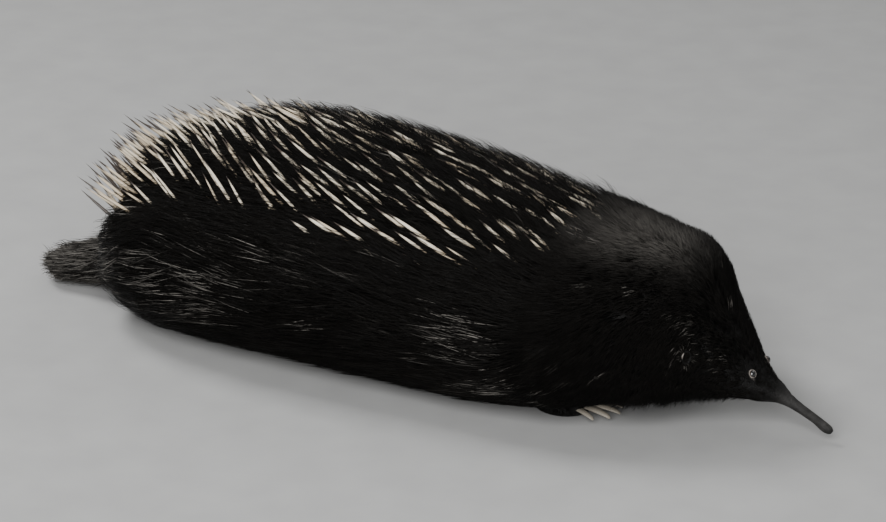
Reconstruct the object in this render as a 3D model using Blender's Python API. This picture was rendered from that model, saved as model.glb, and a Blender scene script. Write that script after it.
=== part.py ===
"""A short-beaked echidna at life size, crouched low with its beak held near the ground.

Metres, +Z up. The beak points along +X, the animal's left is +Y, and the soles stand on
Z = 0 with the origin under the middle of the animal's box.
"""

import math
import random
from bisect import bisect_right

import bmesh
import bpy
from mathutils import Matrix, Vector

# Driving dimensions
GAP = 0.0003  # clearance between neighbouring pieces
SEAT = 0.0004  # how much wider a pocket is than what sits in it, on each side
BELLY = 0.0015  # the flattened underside of the coat above the floor
TRUNK_SIDES = 28  # points round a section of the trunk
RING_STEP = 0.015  # distance between sections along the trunk
RUMP_TURN = -0.150  # behind this the surface turns over to face backwards
NEAR = 0.0005  # step along the trunk for the slope of its surface
NEAR_TURN = 0.02  # step round it, in radians

# Outer surface of the coat from rump to beak tip:
# x, top, bottom, half width, forward lean of the section in degrees.
TRUNK = (
    (-0.1785, 0.0550, 0.0240, 0.0180, 0.0),
    (-0.1755, 0.0670, 0.0160, 0.0320, 0.0),
    (-0.1690, 0.0805, 0.0090, 0.0450, 0.0),
    (-0.1550, 0.0950, 0.0020, 0.0580, 0.0),
    (-0.1260, 0.1080, -0.0030, 0.0690, 0.0),
    (-0.0910, 0.1170, -0.0030, 0.0745, 0.0),
    (-0.0510, 0.1195, -0.0030, 0.0760, 0.0),
    (-0.0110, 0.1165, -0.0030, 0.0755, 0.0),
    (0.0290, 0.1115, -0.0028, 0.0750, 0.0),
    (0.0690, 0.1030, -0.0015, 0.0745, 0.0),
    (0.0990, 0.0955, 0.0020, 0.0710, 0.0),
    (0.1240, 0.0925, 0.0080, 0.0615, 0.0),
    (0.1450, 0.0885, 0.0130, 0.0500, 0.0),
    (0.1560, 0.0803, 0.0150, 0.0405, 3.0),
    (0.1625, 0.0662, 0.0160, 0.0332, 8.0),
    (0.1740, 0.0478, 0.0170, 0.0235, 15.0),
    (0.1835, 0.0358, 0.0172, 0.0162, 21.0),
    (0.1915, 0.0282, 0.0164, 0.0106, 25.0),
    (0.1980, 0.0245, 0.0166, 0.0060, 27.0),
    (0.2030, 0.0210, 0.0156, 0.0036, 27.0),
    (0.2090, 0.0175, 0.0133, 0.0027, 28.0),
    (0.2170, 0.0133, 0.0095, 0.0023, 29.0),
    (0.2245, 0.0088, 0.0053, 0.0021, 31.0),
    (0.2256, 0.0075, 0.0054, 0.0014, 31.0),
)
NECK_BACK = 0.1020  # where the neck meets the trunk
HEAD_BACK = 0.1490  # where the head meets the neck
BEAK_BACK = 0.1980  # where the bare beak leaves the furred head
BODY_POWER = 2.3  # superellipse power of a section of the body, 2 is an ellipse
BEAK_POWER = 2.0
BODY_WIDEST = 0.42  # height of a section's widest line, as a share of its height
BEAK_WIDEST = 0.50

# The tail from tip to root: x, y, z of its middle, half height, half width.
TAIL = (
    (-0.2240, -0.0097, 0.0106, 0.0028, 0.0036),
    (-0.2205, -0.0094, 0.0109, 0.0062, 0.0078),
    (-0.2100, -0.0078, 0.0124, 0.0094, 0.0116),
    (-0.1950, -0.0050, 0.0157, 0.0118, 0.0146),
    (-0.1750, -0.0020, 0.0217, 0.0140, 0.0184),
    (-0.1560, 0.0000, 0.0280, 0.0155, 0.0220),
)
TAIL_THINNEST = 0.0004  # least half width of its core
TAIL_SIDES = 12
TAIL_STEP = 0.010
TAIL_TIERS = (-0.180, -0.200)  # where its locks are rooted
TAIL_ROWS = 7
TAIL_LOCK_LENGTH = 0.024
TAIL_LOCK_WIDTH = 0.0110
TAIL_LOCK_THICKNESS = 0.0016

# How deep the core lies under the coat's outer surface along the trunk: x, depth.
CORE = (
    (-0.1785, 0.0130),
    (-0.1200, 0.0130),
    (-0.0600, 0.0105),
    (-0.0100, 0.0085),
    (0.0900, 0.0065),
    (0.1250, 0.0045),
    (0.1490, 0.0000),
)
TAIL_CORE = 0.0035
ROOT_SUNK = 0.0022  # how far locks and spines are rooted inside the core
SEED = 7

# Locks of the coat, in tiers along the trunk and rows up each side from the hem.
TORSO_TIERS = (-0.156, 0.086, 9)  # first and last tier's roots, number of tiers
NECK_TIERS = (0.118, 0.135, 2)
FLANK_RISES = (-46.0, -24.0, -2.0, 20.0)  # degrees above the section's widest line
BACK_RISES = (44.0, 68.0, 90.0)  # rows over the back, only where the spines end
BACK_LOCKS_FROM = 0.066
NECK_RISES = (-38.0, -10.0, 18.0, 46.0, 74.0)
LOCK_LENGTH = 0.046
LOCK_WIDTH = 0.0175
LOCK_THICKNESS = 0.0024
# A lock from root to tip: share of its length, of its width and of its thickness.
LOCK_SHAPE = ((0.0, 0.66, 1.0), (0.32, 1.0, 0.9), (0.70, 0.68, 0.6), (1.0, 0.0, 0.0))
LOCK_DROOP = 20.0  # degrees that a flank's locks hang below straight back
LOCK_PAST_RUMP = 0.004  # how far locks may reach behind the rump
LOCK_FLOOR = 0.0011  # lowest point of a lock above the floor
TIER_OFFSET = 11.0  # degrees that every other tier is moved up

# Spines, in tiers from the rump to the shoulders, closer together towards the rump.
SPINE_TIERS = (-0.1750, 0.0900, 14)  # first and last tier's roots, number of tiers
SPINE_CROWDING = 1.2
SPINE_ROWS = 10
# Along the trunk: x, degrees of rise of the lowest row, degrees that a spine climbs towards
# the crest, degrees that it lifts off the skin, how far it is then drawn upright as a share
# of its length, and its length in sight.
SPINES = (
    (-0.1785, 20.0, 30.0, 30.0, 0.90, 0.0250),
    (-0.1680, 24.0, 34.0, 30.0, 0.60, 0.0270),
    (-0.1550, 27.0, 24.0, 27.0, 0.12, 0.0300),
    (-0.1300, 30.0, 26.0, 25.0, 0.00, 0.0300),
    (-0.1080, 31.0, 50.0, 25.0, 0.00, 0.0300),
    (-0.0700, 33.0, 50.0, 23.0, 0.00, 0.0280),
    (-0.0450, 32.0, 36.0, 21.0, 0.00, 0.0265),
    (-0.0200, 31.0, 26.0, 21.0, 0.00, 0.0255),
    (0.0100, 28.0, 20.0, 21.0, 0.00, 0.0245),
    (0.0450, 35.0, 18.0, 21.0, 0.00, 0.0230),
    (0.0750, 46.0, 22.0, 21.0, 0.00, 0.0205),
    (0.1000, 66.0, 44.0, 23.0, 0.00, 0.0185),
)
SPINE_CLIMB_EASE = 0.5  # power by which the climb fades towards the crest
SPINE_ROOT_RADIUS = 0.0008
SPINE_RADIUS = 0.0016
SPINE_WIDEST = 0.50  # where along a spine it is thickest
SPINE_LEAST_RISE = 0.35  # keeps a flat spine's root from reaching too far into the core

EYE_X = 0.1843  # place of the eye along the head
EYE_TURN = 53.0  # degrees up from the head's widest line
EYE_RADIUS = 0.0022
EYE_SUNK = 0.0008  # how far the eyeball's middle lies under the skin
BALL_ROWS = 8
BALL_SIDES = 12
LID_RING = 0.0022  # radius of the lids' rim
LID_THICKNESS = 0.0006
LID_WIDE = 1.12  # the almond's width and height over the rim's radius
LID_TALL = 0.94
LID_SIDES = (16, 6)  # points round the rim and round its thickness

EAR_X = 0.1600
EAR_TURN = 11.0
EAR_TALL = 1.40  # the cup's height over its width
# The ear cup's walls from its root outside to its floor inside: radius, height off the skin.
EAR_PROFILE = (
    (0.0018, -0.0030),
    (0.0024, -0.0005),
    (0.0030, 0.0018),
    (0.0024, 0.0020),
    (0.0017, 0.0001),
    (0.0008, -0.0010),
)
EAR_SIDES = 12

NOSTRIL_BACK = 0.0030  # from the beak's tip to the nostrils
NOSTRIL_SPREAD = 0.0008
NOSTRIL_RISE = 0.0018  # above the middle of the beak's tip
NOSTRIL_SIZE = (0.0020, 0.0008, 0.0012)
MOUTH_SIZE = (0.0040, 0.0100, 0.0004)
MOUTH_PAST = 0.001  # how far the mouth's cut reaches past the tip
MOUTH_DROP = 0.0006  # below the middle of the beak's tip
BEAK_STEP = 0.0046  # distance between sections along the beak
HEAD_STEP = 0.006

# Paws: x, y of the left sole's middle, which way the toes point, half length, half width.
FORE_PAW = (0.0925, 0.0240, -2.0, 0.0150, 0.0125)
HIND_PAW = (-0.0920, 0.0235, 174.0, 0.0155, 0.0110)
# A leg's sections from the sole up: height, share of the sole's length, share of its width,
# and how far the section moves back as a share of the sole's half length.
LEG = (
    (0.0000, 0.94, 0.92, 0.00),
    (0.0014, 1.00, 1.00, 0.00),
    (0.0060, 0.98, 1.00, 0.04),
    (0.0105, 0.84, 0.92, 0.16),
    (0.0160, 0.70, 0.84, 0.32),
    (0.0300, 0.62, 0.78, 0.42),
)
LEG_SIDES = 14
BELOW_FLOOR = 0.010  # how far a leg's cutter reaches under the floor

# Claws of a fore paw and a hind paw from the inner toe out:
# fan angle in degrees, length, width, thickness at the root.
FORE_CLAWS = (
    (-42.0, 0.0115, 0.0036, 0.0024),
    (-20.0, 0.0155, 0.0044, 0.0028),
    (1.0, 0.0165, 0.0046, 0.0028),
    (22.0, 0.0150, 0.0044, 0.0028),
    (44.0, 0.0110, 0.0036, 0.0024),
)
HIND_CLAWS = (
    (-44.0, 0.0105, 0.0030, 0.0024),
    (-20.0, 0.0210, 0.0034, 0.0028),
    (2.0, 0.0160, 0.0032, 0.0026),
    (23.0, 0.0120, 0.0030, 0.0024),
    (44.0, 0.0100, 0.0028, 0.0024),
)
CLAW_SUNK = 0.0050  # root of a claw inside its toe
CLAW_HEIGHT = 0.0056  # a claw root's middle above the floor
CLAW_FLOOR = 0.0026  # lowest point of a claw above the floor
CLAW_SIDES = 6
CLAW_FAN = 0.45  # how much of its toe's fan angle a claw itself turns
TOE_OUT = 0.003  # how much wider than the paw the row of toes spreads
# A claw from its root to its tip: share of its length, and of its width and thickness.
CLAW_SHAPE = ((0.0, 0.80), (0.22, 1.0), (0.55, 0.95), (0.85, 0.72), (1.0, 0.34))

# Colours, then roughness: blackish fur, dark bare skin, horn, and the eye.
FUR = (0.022, 0.019, 0.017, 1.0), 0.85
SKIN = (0.060, 0.054, 0.050, 1.0), 0.55
HORN = (0.420, 0.370, 0.290, 1.0), 0.40
EYE = (0.012, 0.010, 0.010, 1.0), 0.08


def smooth_curve(table, column):
    """A curve over the first column through another one that never overshoots its rows."""
    places = [row[0] for row in table]
    values = [row[column] for row in table]
    steps = [after - before for before, after in zip(places, places[1:])]
    rises = [(after - before) / step for before, after, step in zip(values, values[1:], steps)]
    slopes = [rises[0]]
    for before, after in zip(rises, rises[1:]):
        slopes.append(2 * before * after / (before + after) if before * after > 0 else 0.0)
    slopes.append(rises[-1])

    def value(place):
        place = min(max(place, places[0]), places[-1])
        row = min(bisect_right(places, place), len(places) - 1) - 1
        t = (place - places[row]) / steps[row]
        rest = 1 - t
        return (
            values[row] * (1 + 2 * t) * rest * rest
            + values[row + 1] * (3 - 2 * t) * t * t
            + steps[row] * t * rest * (slopes[row] * rest - slopes[row + 1] * t)
        )

    return value


top_at, bottom_at, half_width_at, lean_at = (smooth_curve(TRUNK, column) for column in (1, 2, 3, 4))
core_at = smooth_curve(CORE, 1)
spine_low_at, spine_climb_at, spine_lift_at, spine_upright_at, spine_length_at = (
    smooth_curve(SPINES, column) for column in range(1, 6)
)
tail_curves = [smooth_curve(TAIL, column) for column in (1, 2, 3, 4)]


def blend(low, high, share):
    share = min(max(share, 0.0), 1.0)
    return low + (high - low) * share


def trunk_point(x, turn, inset=0.0):
    """A point on the trunk: a turn of 0 is its left side and a quarter turn its back."""
    to_beak = (x - HEAD_BACK) / (BEAK_BACK - HEAD_BACK)
    power = blend(BODY_POWER, BEAK_POWER, to_beak)
    top = top_at(x) - inset
    bottom = bottom_at(x) + 0.3 * inset
    middle = bottom + blend(BODY_WIDEST, BEAK_WIDEST, to_beak) * (top - bottom)
    across = math.cos(turn)
    up = math.sin(turn)
    y = (half_width_at(x) - inset) * math.copysign(abs(across) ** (2 / power), across)
    reach = top - middle if up > 0 else middle - bottom
    z = middle + reach * math.copysign(abs(up) ** (2 / power), up)
    forward = (z - middle) * math.tan(math.radians(lean_at(x)))
    over_rump = inset * blend(0.0, 1.0, (RUMP_TURN - x) / (RUMP_TURN - TRUNK[0][0]))
    return Vector((x + forward + over_rump, y, max(z, BELLY)))


def trunk_normal(x, turn, inset=0.0):
    """The outward direction of the trunk's surface."""
    along = trunk_point(x + NEAR, turn, inset) - trunk_point(x - NEAR, turn, inset)
    around = trunk_point(x, turn + NEAR_TURN, inset) - trunk_point(x, turn - NEAR_TURN, inset)
    return around.cross(along).normalized()


def tail_point(x, turn, inset=0.0):
    """A point on the tail, which bends a little to the right."""
    y, z, half_height, half_width = (curve(x) for curve in tail_curves)
    across = math.cos(turn) * max(half_width - inset, TAIL_THINNEST)
    up = math.sin(turn) * max(half_height - inset, TAIL_THINNEST)
    return Vector((x, y + across, max(z + up, BELLY)))


def new_material(name, finish):
    colour, roughness = finish
    material = bpy.data.materials.new(name)
    material.use_nodes = True
    shader = material.node_tree.nodes["Principled BSDF"]
    shader.inputs["Base Color"].default_value = colour
    shader.inputs["Roughness"].default_value = roughness
    return material


def loft(name, rings):
    """A closed skin over rings of points, which wind the same way and run from end to end."""
    mesh = bmesh.new()
    rows = [[mesh.verts.new(point) for point in ring] for ring in rings]
    for row, following in zip(rows, rows[1:]):
        for here in range(len(row)):
            there = (here + 1) % len(row)
            mesh.faces.new((row[here], row[there], following[there], following[here]))
    mesh.faces.new(rows[0])
    mesh.faces.new(list(reversed(rows[-1])))
    bmesh.ops.recalc_face_normals(mesh, faces=mesh.faces)
    return finish_mesh(name, mesh)


def finish_mesh(name, mesh):
    data = bpy.data.meshes.new(name)
    mesh.to_mesh(data)
    mesh.free()
    node = bpy.data.objects.new(name, data)
    bpy.context.collection.objects.link(node)
    return node


def dress(node, finish):
    """Give a piece its own material and smooth shading."""
    node.data.materials.clear()
    node.data.materials.append(new_material(node.name + "_finish", finish))
    node.data.shade_smooth()
    return node


def apply_boolean(node, operation, others):
    """Join or cut a piece by others, which are then removed."""
    tools = bpy.data.collections.new(node.name + "_tools")
    for other in others:
        tools.objects.link(other)
    change = node.modifiers.new("change", "BOOLEAN")
    change.operation = operation
    change.operand_type = "COLLECTION"
    change.collection = tools
    change.solver = "EXACT"
    seen = node.evaluated_get(bpy.context.evaluated_depsgraph_get())
    result = bpy.data.meshes.new_from_object(seen)
    node.modifiers.clear()
    node.data = result
    for other in others:
        bpy.data.objects.remove(other)
    bpy.data.collections.remove(tools)
    keep_largest(node)


def keep_largest(node):
    """Leave only the largest closed surface of a piece."""
    mesh = bmesh.new()
    mesh.from_mesh(node.data)
    bmesh.ops.triangulate(mesh, faces=mesh.faces)
    left = set(mesh.faces)
    shells = []
    while left:
        shell = {left.pop()}
        edge_of = list(shell)
        while edge_of:
            face = edge_of.pop()
            for edge in face.edges:
                for beside in edge.link_faces:
                    if beside in left:
                        left.remove(beside)
                        shell.add(beside)
                        edge_of.append(beside)
        shells.append(shell)
    shells.sort(key=lambda shell: sum(face.calc_area() for face in shell), reverse=True)
    scraps = [face for shell in shells[1:] for face in shell]
    bmesh.ops.delete(mesh, geom=scraps, context="FACES")
    mesh.to_mesh(node.data)
    mesh.free()


def spread(start, end, step):
    """Evenly spaced places from start to end, about a step apart."""
    count = max(2, round((end - start) / step) + 1)
    return [start + (end - start) * index / (count - 1) for index in range(count)]


def ring_turns(sides):
    return [math.tau * (index + 0.5) / sides for index in range(sides)]


def trunk_length(name, start, end, step=RING_STEP):
    """The core of one length of the trunk, as a closed piece."""
    rings = []
    for x in spread(start, end, step):
        rings.append([trunk_point(x, turn, core_at(x)) for turn in ring_turns(TRUNK_SIDES)])
    return loft(name, rings)


def side_turn(rise, side):
    """The turn round a section for a rise above its widest line, on the left or right."""
    return math.radians(rise if side > 0 else 180.0 - rise)


def ribbon(name, places, width, thickness):
    """A flat tapered lock along places, each a point with its outward direction."""
    rings = []
    for index, (_, wide, thick) in enumerate(LOCK_SHAPE):
        point, outward = places[index]
        ahead = places[min(index + 1, len(places) - 1)][0] - places[max(index - 1, 0)][0]
        beside = ahead.cross(outward).normalized() * 0.5 * width * wide
        over = beside.cross(ahead).normalized() * 0.5 * thickness * thick
        if wide == 0.0:
            rings.append([point])
        else:
            rings.append([point + beside, point + over, point - beside, point - over])
    mesh = bmesh.new()
    rows = []
    for ring in rings:
        rows.append([mesh.verts.new((p.x, p.y, max(p.z, LOCK_FLOOR))) for p in ring])
    close_rows(mesh, rows)
    return finish_mesh(name, mesh)


def close_rows(mesh, rows):
    """Skin four-sided rings from a closed root to a single point at the tip."""
    for row, following in zip(rows, rows[1:]):
        for here in range(4):
            there = (here + 1) % 4
            if len(following) == 1:
                mesh.faces.new((row[here], row[there], following[0]))
            else:
                mesh.faces.new((row[here], row[there], following[there]))
                mesh.faces.new((row[here], following[there], following[here]))
    mesh.faces.new((rows[0][0], rows[0][1], rows[0][2]))
    mesh.faces.new((rows[0][0], rows[0][2], rows[0][3]))
    bmesh.ops.recalc_face_normals(mesh, faces=mesh.faces)


def build_lock(x, rise, side, draw):
    """A lock rooted in the trunk's core that lies back and down, its tip at the coat's surface."""
    length = LOCK_LENGTH * draw.uniform(0.88, 1.12)
    length = min(length, max(x - TRUNK[0][0] + LOCK_PAST_RUMP, 0.4 * LOCK_LENGTH))
    droop = math.radians(LOCK_DROOP * draw.uniform(0.6, 1.4)) * math.cos(math.radians(rise)) ** 2
    turned = math.degrees(math.sin(droop) * length / half_width_at(x))
    rest_depth = draw.uniform(-0.0004, 0.0014)
    places = []
    for share, _, _ in LOCK_SHAPE:
        here = x - math.cos(droop) * length * share
        turn = side_turn(rise - turned * share ** 1.3, side)
        ease = math.sin(0.5 * math.pi * share)
        depth = (core_at(x) + ROOT_SUNK) * (1 - ease) + rest_depth * ease
        places.append((trunk_point(here, turn, depth), trunk_normal(here, turn)))
    width = LOCK_WIDTH * draw.uniform(0.9, 1.1)
    return ribbon("lock", places, width, LOCK_THICKNESS)


def trunk_locks(tiers, rises, draw):
    """Tiers of locks up both sides, each tier set between the last one's."""
    first, last, count = tiers
    locks = []
    for tier in range(count):
        x = first + (last - first) * tier / (count - 1)
        offset = TIER_OFFSET * (tier % 2)
        for rise in rises + (BACK_RISES if BACK_LOCKS_FROM < x < NECK_BACK else ()):
            for side in (1, -1):
                if rise + offset >= 90.0 and side < 0:
                    continue
                across = min(rise + offset, 90.0) + draw.uniform(-3.0, 3.0)
                locks.append(build_lock(x + draw.uniform(-0.003, 0.003), across, side, draw))
    return locks


def build_spine(x, rise, draw):
    """A spindle-shaped spine that leans back, rooted in the trunk's core."""
    turn = math.radians(rise)
    outward = trunk_normal(x, turn)
    lift = math.radians(spine_lift_at(x) * draw.uniform(0.88, 1.12))
    climb = math.radians(spine_climb_at(x) * draw.uniform(0.85, 1.15))
    climb *= abs(math.cos(turn)) ** SPINE_CLIMB_EASE
    to_crest = Vector((0.0, -math.copysign(outward.z, outward.y), abs(outward.y))).normalized()
    along = Vector((-math.cos(climb), 0.0, 0.0)) + to_crest * math.sin(climb)
    leaning = along * math.cos(lift) + outward * math.sin(lift)
    pointing = (leaning + Vector((0.0, 0.0, spine_upright_at(x)))).normalized()
    skin = trunk_point(x, turn, core_at(x))
    root = skin - pointing * ROOT_SUNK / max(pointing.dot(outward), SPINE_LEAST_RISE)
    tip = skin + pointing * spine_length_at(x) * draw.uniform(0.85, 1.12)
    beside = pointing.cross(Vector((0, 0, 1))).normalized()
    over = beside.cross(pointing)
    mesh = bmesh.new()
    rows = []
    for share, radius in ((0.0, SPINE_ROOT_RADIUS), (SPINE_WIDEST, SPINE_RADIUS)):
        middle = root.lerp(tip, share)
        ways = (beside, over, -beside, -over)
        rows.append([mesh.verts.new(middle + radius * way) for way in ways])
    rows.append([mesh.verts.new(tip)])
    close_rows(mesh, rows)
    return finish_mesh("spine", mesh)


def torso_spines(draw):
    first, last, count = SPINE_TIERS
    spines = []
    for tier in range(count):
        x = first + (last - first) * (tier / (count - 1)) ** SPINE_CROWDING
        low = spine_low_at(x)
        for row in range(SPINE_ROWS):
            rise = low + (180.0 - 2 * low) * (row + 0.5 * (tier % 2)) / (SPINE_ROWS - 0.5)
            spines.append(build_spine(x + draw.uniform(-0.003, 0.003), rise + draw.uniform(-2.5, 2.5), draw))
    return spines


def tail_length(name, start, end, inset=0.0):
    rings = []
    for x in spread(start, end, TAIL_STEP):
        rings.append([tail_point(x, turn, inset) for turn in ring_turns(TAIL_SIDES)])
    return loft(name, rings)


def build_tail():
    """The tail's core with locks that end in a frayed tip."""
    draw = random.Random(SEED + 2)
    tail = tail_length("tail", TAIL[0][0] + TAIL_CORE, TAIL[-1][0], TAIL_CORE)
    locks = []
    for tier, x in enumerate(TAIL_TIERS):
        for row in range(TAIL_ROWS):
            turn = math.tau * (row + 0.5 * (tier % 2)) / TAIL_ROWS
            length = TAIL_LOCK_LENGTH * draw.uniform(0.85, 1.1)
            places = []
            for share, _, _ in LOCK_SHAPE:
                here = x - length * share
                depth = (TAIL_CORE + 0.5 * ROOT_SUNK) * (1 - share) + draw.uniform(0.0, 0.001) * share
                point = tail_point(here, turn, depth)
                places.append((point, (point - tail_point(here, turn, depth + 0.002)).normalized()))
            locks.append(ribbon("lock", places, TAIL_LOCK_WIDTH, TAIL_LOCK_THICKNESS))
    apply_boolean(tail, "UNION", locks)
    return dress(tail, FUR)


def paw_place(paw, side):
    x, y, heading, _, _ = paw
    turn = Matrix.Rotation(math.radians(heading * side), 4, "Z")
    return Matrix.Translation((x, y * side, 0.0)) @ turn


def build_leg(name, paw, side, grow=0.0):
    """A short leg from its flat sole up into the body."""
    _, _, _, half_length, half_width = paw
    place = paw_place(paw, side)
    rings = []
    for height, long_share, wide_share, back_share in LEG:
        ring = []
        for turn in ring_turns(LEG_SIDES):
            along = (half_length * long_share + grow) * math.cos(turn) - half_length * back_share
            across = (half_width * wide_share + grow) * math.sin(turn)
            ring.append(place @ Vector((along, across, height)))
        rings.append(ring)
    if grow:
        rings[0] = [point - Vector((0, 0, BELOW_FLOOR)) for point in rings[0]]
        rings[-1] = [point + Vector((0, 0, grow)) for point in rings[-1]]
    return loft(name, rings)


def build_claw(name, paw, side, claw, grow=0.0):
    """A claw from inside its toe out to its blunt tip, bent down towards the floor."""
    fan, length, width, thickness = claw
    _, _, _, half_length, half_width = paw
    spread_angle = math.radians(fan * side)
    root = Vector((
        (half_length - CLAW_SUNK) * math.cos(spread_angle),
        (half_width + TOE_OUT - CLAW_SUNK) * math.sin(spread_angle),
        CLAW_HEIGHT,
    ))
    claw_angle = spread_angle * CLAW_FAN
    pointing = Vector((math.cos(claw_angle), math.sin(claw_angle), 0.0))
    beside = Vector((-pointing.y, pointing.x, 0.0))
    place = paw_place(paw, side)
    rings = []
    for share, size in CLAW_SHAPE:
        drop = (CLAW_HEIGHT - CLAW_FLOOR - 0.5 * thickness * size) * share ** 2
        middle = root + pointing * (length + CLAW_SUNK + (grow if share == 1.0 else 0.0)) * share
        if share == 0.0:
            middle -= pointing * grow
        middle.z -= max(drop, 0.0)
        ring = []
        for turn in ring_turns(CLAW_SIDES):
            across = (0.5 * width * size + grow) * math.cos(turn)
            up = (0.5 * thickness * size + grow) * math.sin(turn)
            ring.append(place @ (middle + beside * across + Vector((0, 0, up))))
        rings.append(ring)
    return loft(name, rings)


def eye_place(side):
    turn = math.radians(EYE_TURN if side > 0 else 180 - EYE_TURN)
    skin = trunk_point(EYE_X, turn)
    outward = trunk_normal(EYE_X, turn)
    return skin, outward


def build_ball(name, middle, radius):
    rings = []
    for row in range(1, BALL_ROWS):
        tilt = math.pi * row / BALL_ROWS
        rings.append([
            middle + radius * Vector((
                math.sin(tilt) * math.cos(turn), math.sin(tilt) * math.sin(turn), math.cos(tilt)
            ))
            for turn in ring_turns(BALL_SIDES)
        ])
    return loft(name, rings)


def facing(outward, up=Vector((0, 0, 1))):
    """A turn whose Z looks outward and whose Y leans towards up."""
    tall = (up - outward * up.dot(outward)).normalized()
    wide = tall.cross(outward)
    return Matrix((wide, tall, outward)).transposed()


def build_lids(name, side):
    """The rim of the lids round the eye."""
    skin, outward = eye_place(side)
    turn = facing(outward)
    round_rim, round_edge = LID_SIDES
    rings = []
    for around in ring_turns(round_rim):
        out = Vector((math.cos(around) * LID_WIDE, math.sin(around) * LID_TALL, 0.0))
        ring = []
        for roll in ring_turns(round_edge):
            point = out * (LID_RING + LID_THICKNESS * math.cos(roll))
            point.z += LID_THICKNESS * math.sin(roll)
            ring.append(skin + turn @ point)
        rings.append(ring)
    mesh = bmesh.new()
    rows = [[mesh.verts.new(point) for point in ring] for ring in rings]
    for row, following in zip(rows, rows[1:] + rows[:1]):
        for here in range(round_edge):
            there = (here + 1) % round_edge
            mesh.faces.new((row[here], row[there], following[there], following[here]))
    bmesh.ops.recalc_face_normals(mesh, faces=mesh.faces)
    return finish_mesh(name, mesh)


def ear_place(side):
    turn = math.radians(EAR_TURN if side > 0 else 180 - EAR_TURN)
    return trunk_point(EAR_X, turn), trunk_normal(EAR_X, turn)


def build_ear(name, side, outer_only=False, grow=0.0):
    """The cup of an ear, or the plug that its seat is cut with."""
    skin, outward = ear_place(side)
    turn = facing(outward)
    profile = EAR_PROFILE[:3] if outer_only else EAR_PROFILE
    rings = []
    for radius, height in profile:
        if outer_only and height < EAR_PROFILE[1][1]:
            height -= grow
        rings.append([
            skin + turn @ Vector((
                (radius + grow) * math.cos(around), (radius * EAR_TALL + grow) * math.sin(around), height
            ))
            for around in ring_turns(EAR_SIDES)
        ])
    return loft(name, rings)


def build_block(name, middle, turn, size):
    mesh = bmesh.new()
    bmesh.ops.create_cube(mesh, size=1.0)
    for vert in mesh.verts:
        vert.co = middle + turn @ Vector((vert.co.x * size[0], vert.co.y * size[1], vert.co.z * size[2]))
    bmesh.ops.recalc_face_normals(mesh, faces=mesh.faces)
    return finish_mesh(name, mesh)


def build_beak():
    beak = trunk_length("beak", BEAK_BACK + 0.5 * GAP, TRUNK[-1][0], BEAK_STEP)
    tip_x = TRUNK[-1][0]
    lean = math.radians(lean_at(tip_x))
    turn = Matrix.Rotation(lean, 3, "Y")
    axis = turn @ Vector((1, 0, 0))
    top = turn @ Vector((0, 0, 1))
    tip = Vector((tip_x, 0, 0.5 * (top_at(tip_x) + bottom_at(tip_x))))
    cuts = []
    for side in (1, -1):
        mark = tip - axis * NOSTRIL_BACK + Vector((0, NOSTRIL_SPREAD * side, 0)) + top * NOSTRIL_RISE
        cuts.append(build_block("nostril", mark, turn, NOSTRIL_SIZE))
    mouth = tip - axis * (0.5 * MOUTH_SIZE[0] - MOUTH_PAST) - top * MOUTH_DROP
    cuts.append(build_block("mouth", mouth, turn, MOUTH_SIZE))
    apply_boolean(beak, "DIFFERENCE", cuts)
    return dress(beak, SKIN)


def leg_cutters():
    """Every leg and claw a little larger, to cut the room that they take in the coat."""
    cutters = []
    for paw, claws in ((FORE_PAW, FORE_CLAWS), (HIND_PAW, HIND_CLAWS)):
        for side in (1, -1):
            cutters.append(build_leg("leg_cutter", paw, side, grow=SEAT))
            cutters += [build_claw("claw_cutter", paw, side, claw, grow=SEAT) for claw in claws]
    return cutters


def build_torso():
    draw = random.Random(SEED)
    torso = trunk_length("torso", TRUNK[0][0], NECK_BACK - 0.5 * GAP)
    apply_boolean(torso, "UNION", trunk_locks(TORSO_TIERS, FLANK_RISES, draw) + torso_spines(draw))
    cutters = leg_cutters() + [
        tail_length("tail_cutter", TAIL[0][0], TAIL[-1][0] + SEAT, inset=-SEAT)
    ]
    apply_boolean(torso, "DIFFERENCE", cutters)
    return dress(torso, FUR)


def build_neck():
    draw = random.Random(SEED + 1)
    neck = trunk_length("neck", NECK_BACK + 0.5 * GAP, HEAD_BACK - 0.5 * GAP)
    apply_boolean(neck, "UNION", trunk_locks(NECK_TIERS, NECK_RISES, draw))
    apply_boolean(neck, "DIFFERENCE", leg_cutters())
    return dress(neck, FUR)


def build_head():
    head = trunk_length("head", HEAD_BACK + 0.5 * GAP, BEAK_BACK - 0.5 * GAP, HEAD_STEP)
    apply_boolean(head, "UNION", [build_lids("lids", side) for side in (1, -1)])
    cutters = []
    for side in (1, -1):
        skin, outward = eye_place(side)
        cutters.append(build_ball("socket", skin - outward * EYE_SUNK, EYE_RADIUS + GAP))
        cutters.append(build_ear("ear_seat", side, outer_only=True, grow=SEAT))
    apply_boolean(head, "DIFFERENCE", cutters)
    return dress(head, FUR)


def build_side(side, word):
    """The pieces that the animal has once on each side."""
    skin, outward = eye_place(side)
    dress(build_ball("eye_" + word, skin - outward * EYE_SUNK, EYE_RADIUS), EYE)
    dress(build_ear("ear_" + word, side), SKIN)
    for leg, paw, claws in (("fore", FORE_PAW, FORE_CLAWS), ("hind", HIND_PAW, HIND_CLAWS)):
        limb = build_leg(leg + "leg_" + word, paw, side)
        apply_boolean(limb, "DIFFERENCE", [
            build_claw("claw_seat", paw, side, claw, grow=SEAT) for claw in claws
        ])
        dress(limb, FUR)
        for number, claw in enumerate(claws, 1):
            dress(build_claw(f"{leg}_claw_{word}_{number}", paw, side, claw), HORN)


def build_echidna():
    for thing in list(bpy.data.objects):
        bpy.data.objects.remove(thing)
    build_beak()
    build_head()
    build_neck()
    build_torso()
    build_tail()
    for side, word in ((1, "left"), (-1, "right")):
        build_side(side, word)


build_echidna()
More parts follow.
